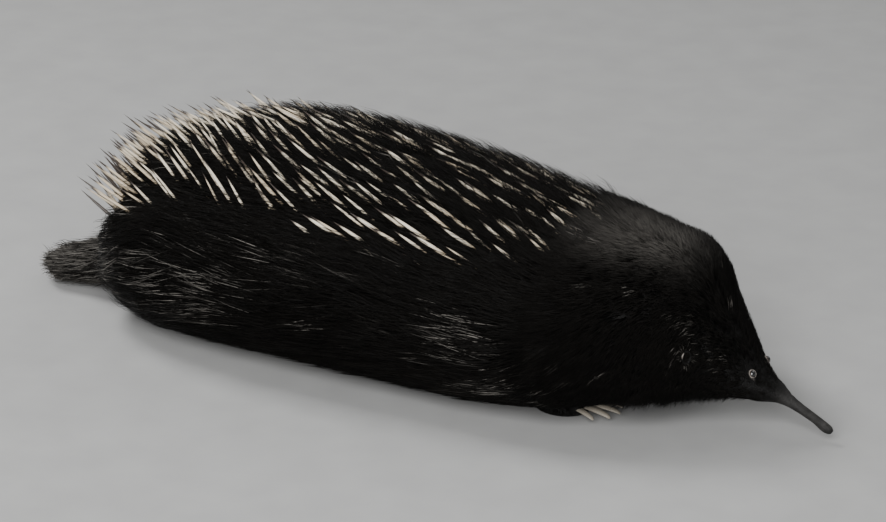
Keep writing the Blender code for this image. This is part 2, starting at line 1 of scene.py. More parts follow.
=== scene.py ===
"""The looks of a life-size short-beaked echidna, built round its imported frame.

Metres, +Z up, the beak along +X and the animal's left at +Y, as in the frame. One skin
carries the trunk, tail, legs, ears and beak, the coat and the spines are solid tufts and
spindles rooted in it, and the eyes and claws are pieces of their own.
"""

import math

import bmesh
import bpy
import numpy as np
from mathutils import Matrix, Vector


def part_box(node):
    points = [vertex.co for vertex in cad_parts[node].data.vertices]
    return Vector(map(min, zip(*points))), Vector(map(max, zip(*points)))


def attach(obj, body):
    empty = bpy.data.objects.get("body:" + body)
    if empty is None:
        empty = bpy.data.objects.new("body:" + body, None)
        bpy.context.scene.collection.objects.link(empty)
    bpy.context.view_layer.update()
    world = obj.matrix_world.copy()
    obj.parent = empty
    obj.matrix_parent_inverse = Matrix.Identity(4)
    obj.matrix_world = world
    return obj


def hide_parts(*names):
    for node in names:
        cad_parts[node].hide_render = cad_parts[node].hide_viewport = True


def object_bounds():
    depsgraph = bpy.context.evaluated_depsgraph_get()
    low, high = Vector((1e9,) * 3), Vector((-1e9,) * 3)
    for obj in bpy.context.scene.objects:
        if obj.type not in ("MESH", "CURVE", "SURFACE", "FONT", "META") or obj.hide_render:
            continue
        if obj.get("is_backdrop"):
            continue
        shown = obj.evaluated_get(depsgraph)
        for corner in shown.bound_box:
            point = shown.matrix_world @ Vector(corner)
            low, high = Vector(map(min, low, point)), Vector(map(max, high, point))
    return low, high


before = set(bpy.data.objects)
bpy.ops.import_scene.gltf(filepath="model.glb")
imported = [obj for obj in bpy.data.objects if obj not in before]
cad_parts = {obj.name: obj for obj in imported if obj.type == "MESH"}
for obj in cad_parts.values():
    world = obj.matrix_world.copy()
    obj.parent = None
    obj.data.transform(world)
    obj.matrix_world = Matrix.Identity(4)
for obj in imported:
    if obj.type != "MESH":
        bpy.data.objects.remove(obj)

CAD_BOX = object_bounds()

bl_info = {
    "name": "Echidna looks",
    "version": (1, 0, 0),
    "blender": (4, 5, 0),
    "location": "3D View > Sidebar > Echidna",
    "description": "Skin, coat, spines, eyes and claws of a life-size echidna",
    "category": "Object",
}

BODY = "root"
FLOOR_CLEAR = 0.0009  # lowest point of any hair above the floor
BELLY = 0.0015  # the flattened underside above the floor
SEED = 20

# Outer surface of the coat from rump to beak tip:
# x, top, bottom, half width, forward lean of the section in degrees.
TRUNK = (
    (-0.1785, 0.0550, 0.0240, 0.0180, 0.0),
    (-0.1755, 0.0670, 0.0160, 0.0320, 0.0),
    (-0.1690, 0.0805, 0.0090, 0.0450, 0.0),
    (-0.1550, 0.0950, 0.0020, 0.0580, 0.0),
    (-0.1260, 0.1080, -0.0030, 0.0690, 0.0),
    (-0.0910, 0.1170, -0.0030, 0.0745, 0.0),
    (-0.0510, 0.1195, -0.0030, 0.0760, 0.0),
    (-0.0110, 0.1165, -0.0030, 0.0755, 0.0),
    (0.0290, 0.1115, -0.0028, 0.0750, 0.0),
    (0.0690, 0.1030, -0.0015, 0.0745, 0.0),
    (0.0990, 0.0955, 0.0020, 0.0710, 0.0),
    (0.1240, 0.0925, 0.0080, 0.0615, 0.0),
    (0.1450, 0.0885, 0.0130, 0.0500, 0.0),
    (0.1560, 0.0803, 0.0150, 0.0405, 3.0),
    (0.1625, 0.0662, 0.0160, 0.0332, 8.0),
    (0.1740, 0.0478, 0.0170, 0.0235, 15.0),
    (0.1835, 0.0358, 0.0172, 0.0162, 21.0),
    (0.1915, 0.0282, 0.0164, 0.0106, 25.0),
    (0.1980, 0.0245, 0.0166, 0.0060, 27.0),
    (0.2030, 0.0210, 0.0156, 0.0036, 27.0),
    (0.2090, 0.0175, 0.0133, 0.0027, 28.0),
    (0.2170, 0.0133, 0.0095, 0.0023, 29.0),
    (0.2245, 0.0088, 0.0053, 0.0021, 31.0),
    (0.2256, 0.0075, 0.0054, 0.0014, 31.0),
)
RUMP_END = TRUNK[0][0]
RUMP_TURN = -0.150  # behind this the surface turns over to face backwards
HEAD_BACK = 0.1490  # where the head meets the neck
BEAK_BACK = 0.1980  # where the bare beak leaves the furred head
BEAK_END = TRUNK[-1][0]
BEAK_LEAN = math.radians(TRUNK[-1][-1])
# The beak's rounded tip: size of each section and how far it stands ahead of the last full one.
BEAK_CAP = ((0.82, 0.00018), (0.5, 0.0003), (0.15, 0.00034))
CAP_LONG = 0.0011  # the skin's sections stand closer over this length before the end
# Low folds across the beak's root: depth, where they are counted from, radians of a wave in a
# metre, x between which they come in, and x between which they go out.
FOLD_DEPTH, FOLD_START, FOLD_RATE = 0.00022, 0.1900, 1900.0
FOLDS_IN, FOLDS_OUT = (0.1860, 0.1960), (0.2040, 0.2120)
RUMP_RINGS_TO = -0.1550  # behind this the skin's sections stand closer
BARE_FROM, BARE_TO = BEAK_BACK - 0.008, BEAK_BACK + 0.001  # between these the hide turns bare
BARE_SLANT = 0.25  # how far that border leans forward, against its height
# The nostrils and the mouth's slit: how far back, up and aside from the beak's tip, half sizes.
NOSTRIL = (0.0032, 0.0019, 0.0008), (0.0010, 0.0004, 0.0007)
MOUTH = (0.0006, -0.0007, 0.0), (0.0034, 0.0040, 0.00022)
BODY_POWER = 2.3  # superellipse power of a section of the body, 2 is an ellipse
BEAK_POWER = 2.0
BODY_WIDEST = 0.42  # height of a section's widest line, as a share of its height
BEAK_WIDEST = 0.50

# The tail from tip to root: x, y, z of its middle, half height, half width.
TAIL = (
    (-0.2240, -0.0097, 0.0106, 0.0028, 0.0036),
    (-0.2205, -0.0094, 0.0109, 0.0062, 0.0078),
    (-0.2100, -0.0078, 0.0124, 0.0094, 0.0116),
    (-0.1950, -0.0050, 0.0157, 0.0118, 0.0146),
    (-0.1750, -0.0020, 0.0217, 0.0140, 0.0184),
    (-0.1560, 0.0000, 0.0280, 0.0155, 0.0220),
)
TAIL_END = TAIL[0][0]
TAIL_ROOT = TAIL[-1][0]
TAIL_SKIN = 0.0035  # depth of the tail's skin under its coat
TAIL_STEP = 0.004  # distance between sections of its skin
TAIL_TIP_STEPS = np.array((0.0, 0.0006, 0.0018))
PAST_RUMP = 0.003  # how far hair may reach behind the rump

# The coat along the trunk: x, depth of the skin, length on the flanks, length on the back,
# and degrees that the flanks' hair hangs below straight back.
COAT = (
    (-0.1785, 0.0130, 0.0240, 0.0180, 26.0),
    (-0.1500, 0.0130, 0.0330, 0.0200, 22.0),
    (-0.1200, 0.0130, 0.0390, 0.0220, 18.0),
    (-0.0800, 0.0112, 0.0420, 0.0220, -6.0),
    (-0.0500, 0.0100, 0.0420, 0.0210, -8.0),
    (-0.0100, 0.0085, 0.0410, 0.0200, 0.0),
    (0.0650, 0.0071, 0.0340, 0.0180, 0.0),
    (0.0900, 0.0068, 0.0290, 0.0160, 14.0),
    (0.1050, 0.0066, 0.0260, 0.0140, 38.0),
    (0.1250, 0.0062, 0.0200, 0.0110, 58.0),
    (0.1450, 0.0052, 0.0120, 0.0080, 72.0),
    (0.1625, 0.0034, 0.0075, 0.0052, 66.0),
    (0.1740, 0.0022, 0.0052, 0.0040, 50.0),
    (0.1850, 0.0012, 0.0034, 0.0028, 30.0),
    (0.1940, 0.0004, 0.0021, 0.0018, 12.0),
    (0.1980, 0.0001, 0.0016, 0.0014, 8.0),
    (0.2256, 0.0000, 0.0010, 0.0010, 0.0),
)

# Zones of the coat as soft steps, each from where it starts to where it is full: in degrees
# of rise, and then along X.
BACK = ((12.0, 48.0),)
CREST = ((50.0, 75.0),)
HEM = ((12.0, -20.0),)
THROAT = ((-8.0, -34.0), (0.126, 0.142), (0.190, 0.176))
BELLY_FRINGE = ((-12.0, -36.0), (0.090, 0.070))
OVER_PAW = ((0.0, -24.0), (0.078, 0.090), (0.138, 0.124))
FOREHEAD = ((34.0, 70.0), (0.134, 0.150), (0.188, 0.172))
# Along the top of the crown the hair carries a painted sheen.
CROWN_SHEEN = ((54.0, 86.0), (0.080, 0.125), (0.160, 0.142))
CREST_HIGHER = 0.22  # how much less the spines press the hair down along the crest
THROAT_RAGGED = 0.0044  # most that a clump of the throat stands out past the others
FRINGE_RAGGED = 0.0016
THROAT_SAG = 0.0060  # most that a clump's tips drop
FRINGE_SAG = 0.0030
THROAT_LONGER = 0.5  # share of its length that the throat's hair gains
PAW_SHORTER = 0.45  # share of its length that the hair over a fore paw loses
PAW_DEEPER = 0.0022  # how much deeper its tips lie
FOREHEAD_HIGHER = 0.0017  # how much higher the forehead's tips stand
HEM_HANG = 10.0  # degrees that the hem hangs more than the flank above it
HANG_FADES_FROM, HANG_FADES_TO = (0.080, 1.5), (0.115, 0.4)  # x, power of the fade up the side
RUMP_WAVES = (-0.090, -0.140)  # between these the hair gets its full waves towards the rump
WAVIER = 1.2  # share by which the hem and the rump wave more
LOWEST_RISE = -60.0  # below this hair hardly turns further under the belly
PAST_LOWEST = 0.3  # share of the turn past it that is left
# Even scatter by clump and by tuft: of the length as a share, and of the tips' depth.
CLUMP_LENGTHS, TUFT_LENGTHS = (0.82, 1.15), (0.85, 1.10)
CLUMP_DEPTHS, TUFT_DEPTHS = (-0.0008, 0.0010), (-0.0006, 0.0008)
TUFT_WIDTHS = (0.7, 1.3)  # as shares of a look's width
HANG_STRAY = 3.0  # degrees
ROLL_STRAY = 0.5  # radians that a tuft is rolled about its length
DEEPEST_TIP = 0.9  # as a share of the skin's depth
ROOT_DEEPER = 0.0006  # depth of a tuft's root under the skin
WAVES = 0.8  # number of waves along a tuft
# How late along a tuft each change comes, as a power of the share of its length.
GATHER_EASE, FALL_EASE, STRAY_EASE, RISE_EASE = 1.4, 1.2, 1.6, 0.85
SHEEN_ALONE = 0.03  # share of clumps with pale strands of painted sheen outside the patches
SHEEN_CLUMPS = 0.85  # most of a patch's clumps that have these strands of painted sheen
SHEEN_STRANDS = 0.60  # and of the tufts in such a clump

# Where pale strands paint sheen on the coat: x, rise, how far along and round they reach, their
# most.
SHEEN_PATCHES = (
    (-0.1430, 4.0, 0.020, 13.0, 1.00),
    (-0.1150, 6.0, 0.016, 8.0, 0.80),
    (-0.1560, 26.0, 0.012, 8.0, 0.50),
    (-0.0860, 1.0, 0.010, 6.0, 0.60),
    (-0.0650, 0.0, 0.014, 6.0, 0.90),
    (-0.0640, -16.0, 0.020, 5.0, 0.90),
    (-0.0230, 15.0, 0.010, 6.0, 0.55),
    (-0.0020, 4.0, 0.008, 5.0, 0.35),
    (0.0770, 7.0, 0.013, 8.0, 0.80),
    (0.1000, 4.0, 0.012, 9.0, 0.70),
    (0.1180, -6.0, 0.010, 6.0, 0.60),
    (0.0880, -22.0, 0.015, 8.0, 0.70),
    (0.1610, 36.0, 0.006, 11.0, 0.60),
    (0.1680, 40.0, 0.006, 13.0, 0.70),
    (0.1720, 22.0, 0.006, 8.0, 0.40),
)

# How each kind of hair is set:
# clump: scatter of a clump's roots. length: against the coat's own. tip: depth of the tips
# under the outer surface. under_spines: how much deeper they lie among the spines. hang: share
# of the coat's own hang. drift, spread: degrees that it wanders over the trunk and by clump.
# stray: sideways scatter of the tips. wave: reach of a tuft's waves. gather: how far a clump
# closes towards its tips. stand: how long a tuft stands before it lies back. width: half a
# tuft's width, and flat: its thickness against it. pale: how many strands carry painted sheen
# in the patches. rim: how pale the painted sheen along the top of the crown is. uneven: scatter
# of the tips' depth. fringe: raggedness along the hem.
PLAIN_HAIR = dict(
    under_spines=0.0, hang=0.0, drift=0.0, flat=0.6, pale=0.0, rim=0.0, uneven=1.0, fringe=0.0,
)
LONG_HAIR = dict(
    PLAIN_HAIR,
    clump=0.0046, length=1.05, tip=0.0002, under_spines=0.0060, hang=1.0, drift=12.0, spread=6.0,
    stray=0.0012, wave=0.0012, gather=0.42, stand=0.15, width=0.00044, pale=1.0, uneven=1.2,
    fringe=1.0,
)
BACK_HAIR = dict(
    PLAIN_HAIR,
    clump=0.0032, length=1.0, tip=0.0004, under_spines=0.0058, hang=0.6, drift=14.0, spread=8.0,
    stray=0.0022, wave=0.0008, gather=0.30, stand=0.30, width=0.00040, pale=0.3, rim=0.08,
)
FILL_HAIR = dict(
    PLAIN_HAIR,
    clump=0.0060, length=0.62, tip=0.0028, under_spines=0.0042, hang=0.9, drift=12.0, spread=6.0,
    stray=0.0020, wave=0.0006, gather=0.25, stand=0.1, width=0.00085, flat=0.5,
)
GUARD_HAIR = dict(
    PLAIN_HAIR,
    clump=0.0022, length=1.10, tip=-0.0022, under_spines=0.0034, hang=0.9, drift=14.0, spread=14.0,
    stray=0.0034, wave=0.0010, gather=0.10, stand=0.55, width=0.00023, flat=0.7, pale=0.4, rim=0.1,
    uneven=2.2, fringe=1.0,
)
CREST_FUZZ = dict(
    PLAIN_HAIR,
    clump=0.0018, length=0.62, tip=-0.0018, under_spines=0.0034, spread=20.0, stray=0.0030,
    wave=0.0008, gather=0.05, stand=0.9, width=0.00022, flat=0.8, pale=0.3, rim=0.1, uneven=2.0,
)
PLUSH = dict(
    PLAIN_HAIR,
    clump=0.0020, length=0.62, tip=-0.0005, hang=1.0, drift=5.0, spread=6.0, stray=0.0010,
    wave=0.0002, gather=0.12, stand=0.80, width=0.00024, pale=0.1, rim=0.30, uneven=0.8, fringe=1.0,
)
FACE_HAIR = dict(
    PLAIN_HAIR,
    clump=0.0014, length=1.0, tip=0.00002, hang=1.0, drift=6.0, spread=6.0, stray=0.0004,
    wave=0.0001, gather=0.30, stand=0.2, width=0.00019, pale=0.15, rim=0.16, uneven=0.25,
)
CHEEK_HAIR = dict(
    PLAIN_HAIR,
    clump=0.0016, length=0.95, tip=-0.0003, hang=0.9, drift=3.0, spread=5.0, stray=0.0003, wave=0.0,
    gather=0.05, stand=0.1, width=0.00014, flat=0.7, pale=0.45, uneven=0.6,
)
UNDER_HAIR = dict(
    PLAIN_HAIR,
    clump=0.0040, length=0.40, tip=0.0008, spread=10.0, stray=0.0012, wave=0.0004, gather=0.30,
    stand=0.1, width=0.00060,
)

# Stretches of the coat: name, look, pattern, x range, rise range, clumps, tufts a clump.
STRETCHES = (
    ("coat_flank", LONG_HAIR, "long", (-0.1780, 0.1120), (-54.0, 34.0), 1900, 12),
    ("coat_back", BACK_HAIR, "long", (-0.1785, 0.1120), (26.0, 90.0), 1700, 10),
    ("coat_fill", FILL_HAIR, "short", (-0.1785, 0.1400), (-56.0, 90.0), 1300, 8),
    ("coat_guard", GUARD_HAIR, "long", (-0.1600, 0.0900), (-30.0, 90.0), 1800, 3),
    ("coat_fuzz", CREST_FUZZ, "short", (-0.1600, 0.1100), (52.0, 90.0), 1700, 5),
    ("coat_crown", PLUSH, "short", (0.0960, 0.1580), (-50.0, 90.0), 3600, 10),
    ("coat_face", FACE_HAIR, "short", (0.1500, 0.1990), (-90.0, 90.0), 2300, 9),
    ("coat_cheek", CHEEK_HAIR, "long", (0.1480, 0.1780), (4.0, 66.0), 330, 6),
    ("coat_under", UNDER_HAIR, "short", (-0.1760, 0.1500), (-90.0, -46.0), 500, 8),
)

# Hair of the tail, legs and ears: number of tufts, half their width, range of length, and the
# values that only one of them has.
TAIL_HAIR = dict(
    count=5200, width=0.00036, length=(0.014, 0.026), root=TAIL_ROOT + 0.004, tip=(-0.196, -0.216),
    tip_shorter=0.45, tip_higher=0.0024, swing=0.16, lift=(-0.0036, 0.0010), curl=0.5,
    fray=(0.1, 0.9), pale=0.55, tip_paler=0.30,
)
LEG_HAIR = dict(
    count=2400, width=0.00034, length=(0.0025, 0.0085), longer=(0.003, 0.014),
    heights=(0.0030, 0.0240), lift=(0.0006, 0.0018), sunk=0.0003,
)
EAR_HAIR = dict(
    count=90, width=0.00020, length=(0.0020, 0.0050), ring=(0.0012, 0.0026), lift=0.0034,
    droop=0.0012,
)

# Spines along the trunk: x, degrees of rise of the lowest row, degrees that a spine climbs
# towards the crest, degrees that it lifts off the skin, how far it is then drawn upright as
# a share of its length, and its length.
SPINES = (
    (-0.1785, 20.0, 30.0, 30.0, 0.90, 0.0250),
    (-0.1680, 24.0, 34.0, 30.0, 0.60, 0.0270),
    (-0.1550, 27.0, 24.0, 27.0, 0.12, 0.0300),
    (-0.1300, 30.0, 26.0, 25.0, 0.00, 0.0300),
    (-0.1080, 31.0, 50.0, 25.0, 0.00, 0.0300),
    (-0.0700, 33.0, 50.0, 23.0, 0.00, 0.0280),
    (-0.0450, 32.0, 36.0, 21.0, 0.00, 0.0265),
    (-0.0200, 31.0, 26.0, 21.0, 0.00, 0.0255),
    (0.0100, 28.0, 20.0, 21.0, 0.00, 0.0245),
    (0.0450, 35.0, 18.0, 21.0, 0.00, 0.0230),
    (0.0750, 46.0, 22.0, 21.0, 0.00, 0.0205),
    (0.1000, 66.0, 44.0, 23.0, 0.00, 0.0185),
)
SPINE_TIERS = (-0.1755, 0.1010, 31)  # first and last tier's roots, number of tiers
SPINE_CROWDING = 1.35  # tiers stand closer together towards the rump
SPINE_ROWS, SPINE_SPAN = 16, 140.0  # rows in a tier that spans so many degrees
SPINE_FEWEST_ROWS = 4
SPINE_CLIMB_EASE = 0.5  # power by which the climb fades towards the crest
SPINE_SUNK = 0.0015  # root of a spine inside the skin
SPINE_LEAST_RISE = 0.35  # keeps a flat spine's root from reaching too far under the skin
SPINE_FADE = 0.110  # about here the spines' field ends
SPINE_FADE_BEHIND, SPINE_FADE_AHEAD = 0.020, 0.006
SPINE_EDGE = 8.0  # degrees to either side of the lowest row in which the field begins
SPINE_JITTER, SPINE_TURN_JITTER = 0.0040, 4.0  # most that a root is off its place, in m and degrees
SPINE_SWING = 0.06  # scatter of a spine to either side
SPINE_SCATTER = (0.85, 1.18)  # of its lift and length, as shares
SPINE_SAG = (-0.01, 0.05)  # as a share of its length
# Towards the rump the spines are thinner, more worn and dark further down: x from and to, amount.
SPINES_THIN = ((-0.100, -0.060), 0.82)
SPINES_WORN = ((-0.105, -0.150), 0.55)
SPINES_DARK = ((-0.146, -0.164), (0.25, 0.50))
SPINE_TIP_START = (0.66, 0.88)  # where the dark tip begins, as a share of the length
# Cuts of a spine: place as a share of its length, radius as a share of its thickest.
SPINE_CUTS = (
    (0.0, 0.50), (0.12, 0.66), (0.30, 0.92), (0.48, 1.00), (0.66, 0.86), (0.82, 0.52), (0.93, 0.22),
)

EYE_X = 0.1843
EYE_TURN = 53.0  # degrees up from the head's widest line
LID_RADIUS = 0.0019  # radius of the lids' rim
LID_THICKNESS = 0.00048
LID_OUT = 0.0003  # how far the lids stand out over the eye's middle
LID_SHAPE = (1.10, 0.92, 1.3)  # long, tall and thick against the plain rim
CORNEA_FROM = 0.72  # height on the eyeball where the cornea begins, as a share of its radius
CORNEA_SWELL, CORNEA_REACH = 0.05, 0.4  # how far it swells and how far round that reaches
EAR_X = 0.1600
EAR_TURN = 11.0
EAR_TALL = 1.40  # the cup's height over its width
EYE_CLEAR, EAR_CLEAR = 0.0028, 0.0013  # no hair grows this near to their middles
EYE_PALE, EAR_PALE = 0.0023, 0.0012  # the skin is pale this far round them
# The ear cup's walls from its root outside to its floor inside: radius, height off the skin.
EAR_WALLS = (
    (0.0017, -0.0030),
    (0.0022, 0.0004),
    (0.0026, 0.0022),
    (0.0023, 0.0025),
    (0.0019, 0.0021),
    (0.0014, 0.0010),
    (0.0007, 0.0004),
)

# Paws: x, y of the left sole's middle, which way the toes point, half length, half width.
FORE_PAW = (0.0925, 0.0240, -2.0, 0.0150, 0.0125)
HIND_PAW = (-0.0920, 0.0235, 174.0, 0.0155, 0.0110)
# A leg's sections from the sole up: height, share of the sole's length, share of its width,
# and how far the section moves back as a share of the sole's half length.
LEG = (
    (0.0002, 0.90, 0.88, 0.00),
    (0.0014, 0.98, 0.98, 0.00),
    (0.0060, 0.96, 0.98, 0.04),
    (0.0105, 0.84, 0.92, 0.16),
    (0.0160, 0.70, 0.84, 0.32),
    (0.0300, 0.62, 0.78, 0.42),
)
# Heights of the skin's sections on a leg.
LEG_RINGS = (
    0.0002, 0.0008, 0.0016, 0.0030, 0.0050, 0.0075, 0.0100, 0.0130, 0.0160, 0.0220, 0.0300,
)
LIMB_SIDES = 28  # points round a section of a leg or the tail
# Claws of a fore paw and a hind paw from the inner toe out:
# fan angle in degrees, length, width, thickness at the root.
FORE_CLAWS = (
    (-42.0, 0.0115, 0.0036, 0.0024),
    (-20.0, 0.0155, 0.0044, 0.0028),
    (1.0, 0.0165, 0.0046, 0.0028),
    (22.0, 0.0150, 0.0044, 0.0028),
    (44.0, 0.0110, 0.0036, 0.0024),
)
HIND_CLAWS = (
    (-44.0, 0.0105, 0.0030, 0.0024),
    (-20.0, 0.0210, 0.0034, 0.0028),
    (2.0, 0.0160, 0.0032, 0.0026),
    (23.0, 0.0120, 0.0030, 0.0024),
    (44.0, 0.0100, 0.0028, 0.0024),
)
# Cuts of a claw, like those of a spine.
CLAW_CUTS = (
    (0.0, 0.80), (0.10, 0.92), (0.22, 1.00), (0.34, 1.00), (0.46, 0.98), (0.58, 0.96),
    (0.70, 0.91), (0.80, 0.83), (0.88, 0.72), (0.94, 0.58), (0.98, 0.40),
)
CLAW_TIP = 0.18  # radius of the tip as a share of the thickest
CLAW_UNDERSIDE = 0.62  # height of the underside against the upper side
CLAW_RIDGES, RIDGE_HEIGHT = 6, 0.06  # number round it, and height as a share of its radius
CLAW_SUNK = 0.0050  # root of a claw inside its toe
CLAW_HEIGHT = 0.0056  # a claw root's middle above the floor
CLAW_FLOOR = 0.0026  # lowest point of a claw above the floor
CLAW_FAN = 0.45  # how much of its toe's fan angle a claw itself turns
TOE_OUT = 0.003  # how much wider than the paw the row of toes spreads
TOE_AHEAD, TOE_UNDER = 0.0018, 0.0004  # a toe's middle from its claw's root
TOE_LONG, TOE_TALL = 0.0060, 0.0040  # half sizes
TOE_WIDE = 0.72  # half the toe's width against the claw's width
PAWS = (("fore", FORE_PAW, FORE_CLAWS), ("hind", HIND_PAW, HIND_CLAWS))
SIDES = ((1, "left"), (-1, "right"))

# The camera, from the point that it looks at.
VIEW_TARGET = Vector((0.0125, 0.0, 0.054))
VIEW_TURN = 28.0  # degrees that the camera stands round towards the beak
VIEW_RISE = 23.0
VIEW_DISTANCE = 1.5
VIEW_LENS = 119.7  # mm
# The area lights: name, place, side, power.
LIGHTS = (
    ("key_light", (-0.85, 0.00, 1.20), 0.5, 16.0),
    ("front_light", (0.45, -1.35, 0.90), 1.1, 44.0),
    ("rear_light", (0.50, 0.90, 1.20), 0.9, 4.0),
)
LIGHT_TARGET = Vector((0, 0, 0.04))
SKY_COLOUR = (0.80, 0.80, 0.80, 1.0)
SKY_STRENGTH = 0.29
FLOOR_TONES = ((0.320, 0.320, 0.317, 1.0), (0.345, 0.345, 0.341, 1.0))
HAIR_DUST = (0.0060, 0.0053, 0.0046, 1.0)
PUPIL = (0.002, 0.002, 0.002, 1.0)


# Curves over the tables

def smooth_curve(table, column):
    """A curve over the first column through another one that never overshoots its rows."""
    places = np.array([row[0] for row in table])
    values = np.array([row[column] for row in table])
    steps = np.diff(places)
    rises = np.diff(values) / steps
    both = rises[:-1] * rises[1:]
    total = np.where(both > 0, rises[:-1] + rises[1:], 1.0)
    slopes = np.concatenate(([rises[0]], np.where(both > 0, 2 * both / total, 0.0), [rises[-1]]))

    def value(place):
        place = np.clip(place, places[0], places[-1])
        row = np.clip(np.searchsorted(places, place, side="right") - 1, 0, len(steps) - 1)
        t = (place - places[row]) / steps[row]
        rest = 1 - t
        return (
            values[row] * (1 + 2 * t) * rest * rest
            + values[row + 1] * (3 - 2 * t) * t * t
            + steps[row] * t * rest * (slopes[row] * rest - slopes[row + 1] * t)
        )

    return value


def curves(table):
    return [smooth_curve(table, column) for column in range(1, len(table[0]))]


top_at, bottom_at, half_width_at, lean_at = curves(TRUNK)
skin_at, flank_length_at, back_length_at, hang_at = curves(COAT)
spine_low_at, spine_climb_at, spine_lift_at, spine_upright_at, spine_length_at = curves(SPINES)
tail_y_at, tail_z_at, tail_tall_at, tail_wide_at = curves(TAIL)
leg_long_at, leg_wide_at, leg_back_at = curves(LEG)


def step_between(low, high, value):
    """0 below low, 1 above high, and a soft step between them."""
    t = np.clip((value - low) / (high - low), 0.0, 1.0)
    return t * t * (3 - 2 * t)


def mix(first, second, share):
    return first + (second - first) * share


def stacked(x, y, z):
    return np.stack(np.broadcast_arrays(x, y, z), axis=-1)


def unit(vectors):
    return vectors / np.maximum(np.linalg.norm(vectors, axis=-1, keepdims=True), 1e-9)


def signed_power(value, power):
    return np.sign(value) * np.abs(value) ** power


def trunk_point(x, turn, inset=0.0):
    """Points on the trunk: a turn of 0 is its left side and a quarter turn its back."""
    to_beak = np.clip((x - HEAD_BACK) / (BEAK_BACK - HEAD_BACK), 0.0, 1.0)
    power = mix(BODY_POWER, BEAK_POWER, to_beak)
    top = top_at(x) - inset
    bottom = bottom_at(x) + 0.3 * inset
    middle = bottom + mix(BODY_WIDEST, BEAK_WIDEST, to_beak) * (top - bottom)
    y = (half_width_at(x) - inset) * signed_power(np.cos(turn), 2 / power)
    up = np.sin(turn)
    reach = np.where(up > 0, top - middle, middle - bottom)
    z = middle + reach * signed_power(up, 2 / power)
    forward = (z - middle) * np.tan(np.radians(lean_at(x)))
    over_rump = inset * np.clip((RUMP_TURN - x) / (RUMP_TURN - RUMP_END), 0.0, 1.0)
    return stacked(x + forward + over_rump, y, np.maximum(z, BELLY))


def surface_normal(point_at, x, turn):
    """The outward direction of a surface that point_at gives."""
    along = point_at(x + 0.0005, turn) - point_at(x - 0.0005, turn)
    around = point_at(x, turn + 0.02) - point_at(x, turn - 0.02)
    return unit(np.cross(around, along))


def tail_point(x, turn, inset=0.0):
    """Points on the tail, which bends a little to the right and ends in loose hair."""
    held = np.maximum(x, TAIL_END)
    across = np.cos(turn) * np.maximum(tail_wide_at(held) - inset, 0.0004)
    up = np.sin(turn) * np.maximum(tail_tall_at(held) - inset, 0.0004)
    return stacked(x, tail_y_at(held) + across, np.maximum(tail_z_at(held) + up, BELLY))


def leg_point(paw, side, height, turn, grow=0.0):
    """Points on a leg, as a turn round it at a height, moved outwards by grow."""
    x, y, heading, half_length, half_width = paw
    along = (half_length * leg_long_at(height) + grow) * np.cos(turn)
    along = along - half_length * leg_back_at(height)
    across = (half_width * leg_wide_at(height) + grow) * np.sin(turn)
    angle = math.radians(heading * side)
    return stacked(
        x + along * math.cos(angle) - across * math.sin(angle),
        y * side + along * math.sin(angle) + across * math.cos(angle),
        height,
    )


# The trunk measured along its surface instead of along X
ALONG_X = np.linspace(RUMP_END, BEAK_END, 1200)
ALONG_SLOPE = 0.5 * (
    np.gradient(top_at(ALONG_X), ALONG_X) ** 2 + np.gradient(half_width_at(ALONG_X), ALONG_X) ** 2
)
ALONG_LENGTH = np.concatenate(([0.0], np.cumsum(np.sqrt(1 + ALONG_SLOPE[1:]) * np.diff(ALONG_X))))


def length_at(x):
    return np.interp(x, ALONG_X, ALONG_LENGTH)


def x_at(length):
    return np.interp(length, ALONG_LENGTH, ALONG_X)


# Small tools

def add_finished(piece, slot, material, replaces=()):
    """Hand a finished piece to the frame with its material and replaced nodes; its slot is not
    used.
    """
    piece.data.materials.clear()
    piece.data.materials.append(material)
    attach(piece, BODY)
    if replaces:
        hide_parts(*replaces)


def settle(piece):
    """Move a piece's place into its mesh."""
    bpy.ops.object.select_all(action="DESELECT")
    piece.select_set(True)
    bpy.context.view_layer.objects.active = piece
    bpy.ops.object.transform_apply(location=True, rotation=True, scale=True)
    return piece


def added(name):
    piece = bpy.context.object
    piece.name = name
    piece.data.name = name
    return piece


def points_of(mesh):
    points = np.empty(len(mesh.vertices) * 3)
    mesh.vertices.foreach_get("co", points)
    return points.reshape(-1, 3)


def add_ball(name, segments, rings, middle, axes, sizes):
    """A ball with a half size along each of three axes."""
    bpy.ops.mesh.primitive_uv_sphere_add(segments=segments, ring_count=rings, radius=1.0)
    ball = added(name)
    turn = Matrix(axes).transposed().to_4x4()
    ball.data.transform(Matrix.Translation(middle) @ turn @ Matrix.Diagonal((*sizes, 1.0)))
    return ball


def grow_tube(name, rings):
    """A closed tube grown ring by ring out of a circle, each ring set to its points."""
    bpy.ops.mesh.primitive_circle_add(vertices=len(rings[0]), radius=0.01, fill_type="NGON")
    piece = added(name)
    bpy.ops.object.mode_set(mode="EDIT")
    mesh = bmesh.from_edit_mesh(piece.data)
    place = mesh.verts.layers.int.new("place")
    for index, vert in enumerate(mesh.verts):
        vert[place] = index
        vert.co = rings[0][index]
        vert.select = True
    for face in mesh.faces:
        face.select = True
    bmesh.update_edit_mesh(piece.data)
    for ring in rings[1:]:
        bpy.ops.mesh.extrude_region_move()
        mesh = bmesh.from_edit_mesh(piece.data)
        place = mesh.verts.layers.int["place"]
        for vert in mesh.verts:
            if vert.select:
                vert.co = ring[vert[place]]
        bmesh.update_edit_mesh(piece.data)
    bpy.ops.mesh.select_all(action="SELECT")
    bpy.ops.mesh.normals_make_consistent(inside=False)
    bpy.ops.object.mode_set(mode="OBJECT")
    piece.data.attributes.remove(piece.data.attributes["place"])
    return piece


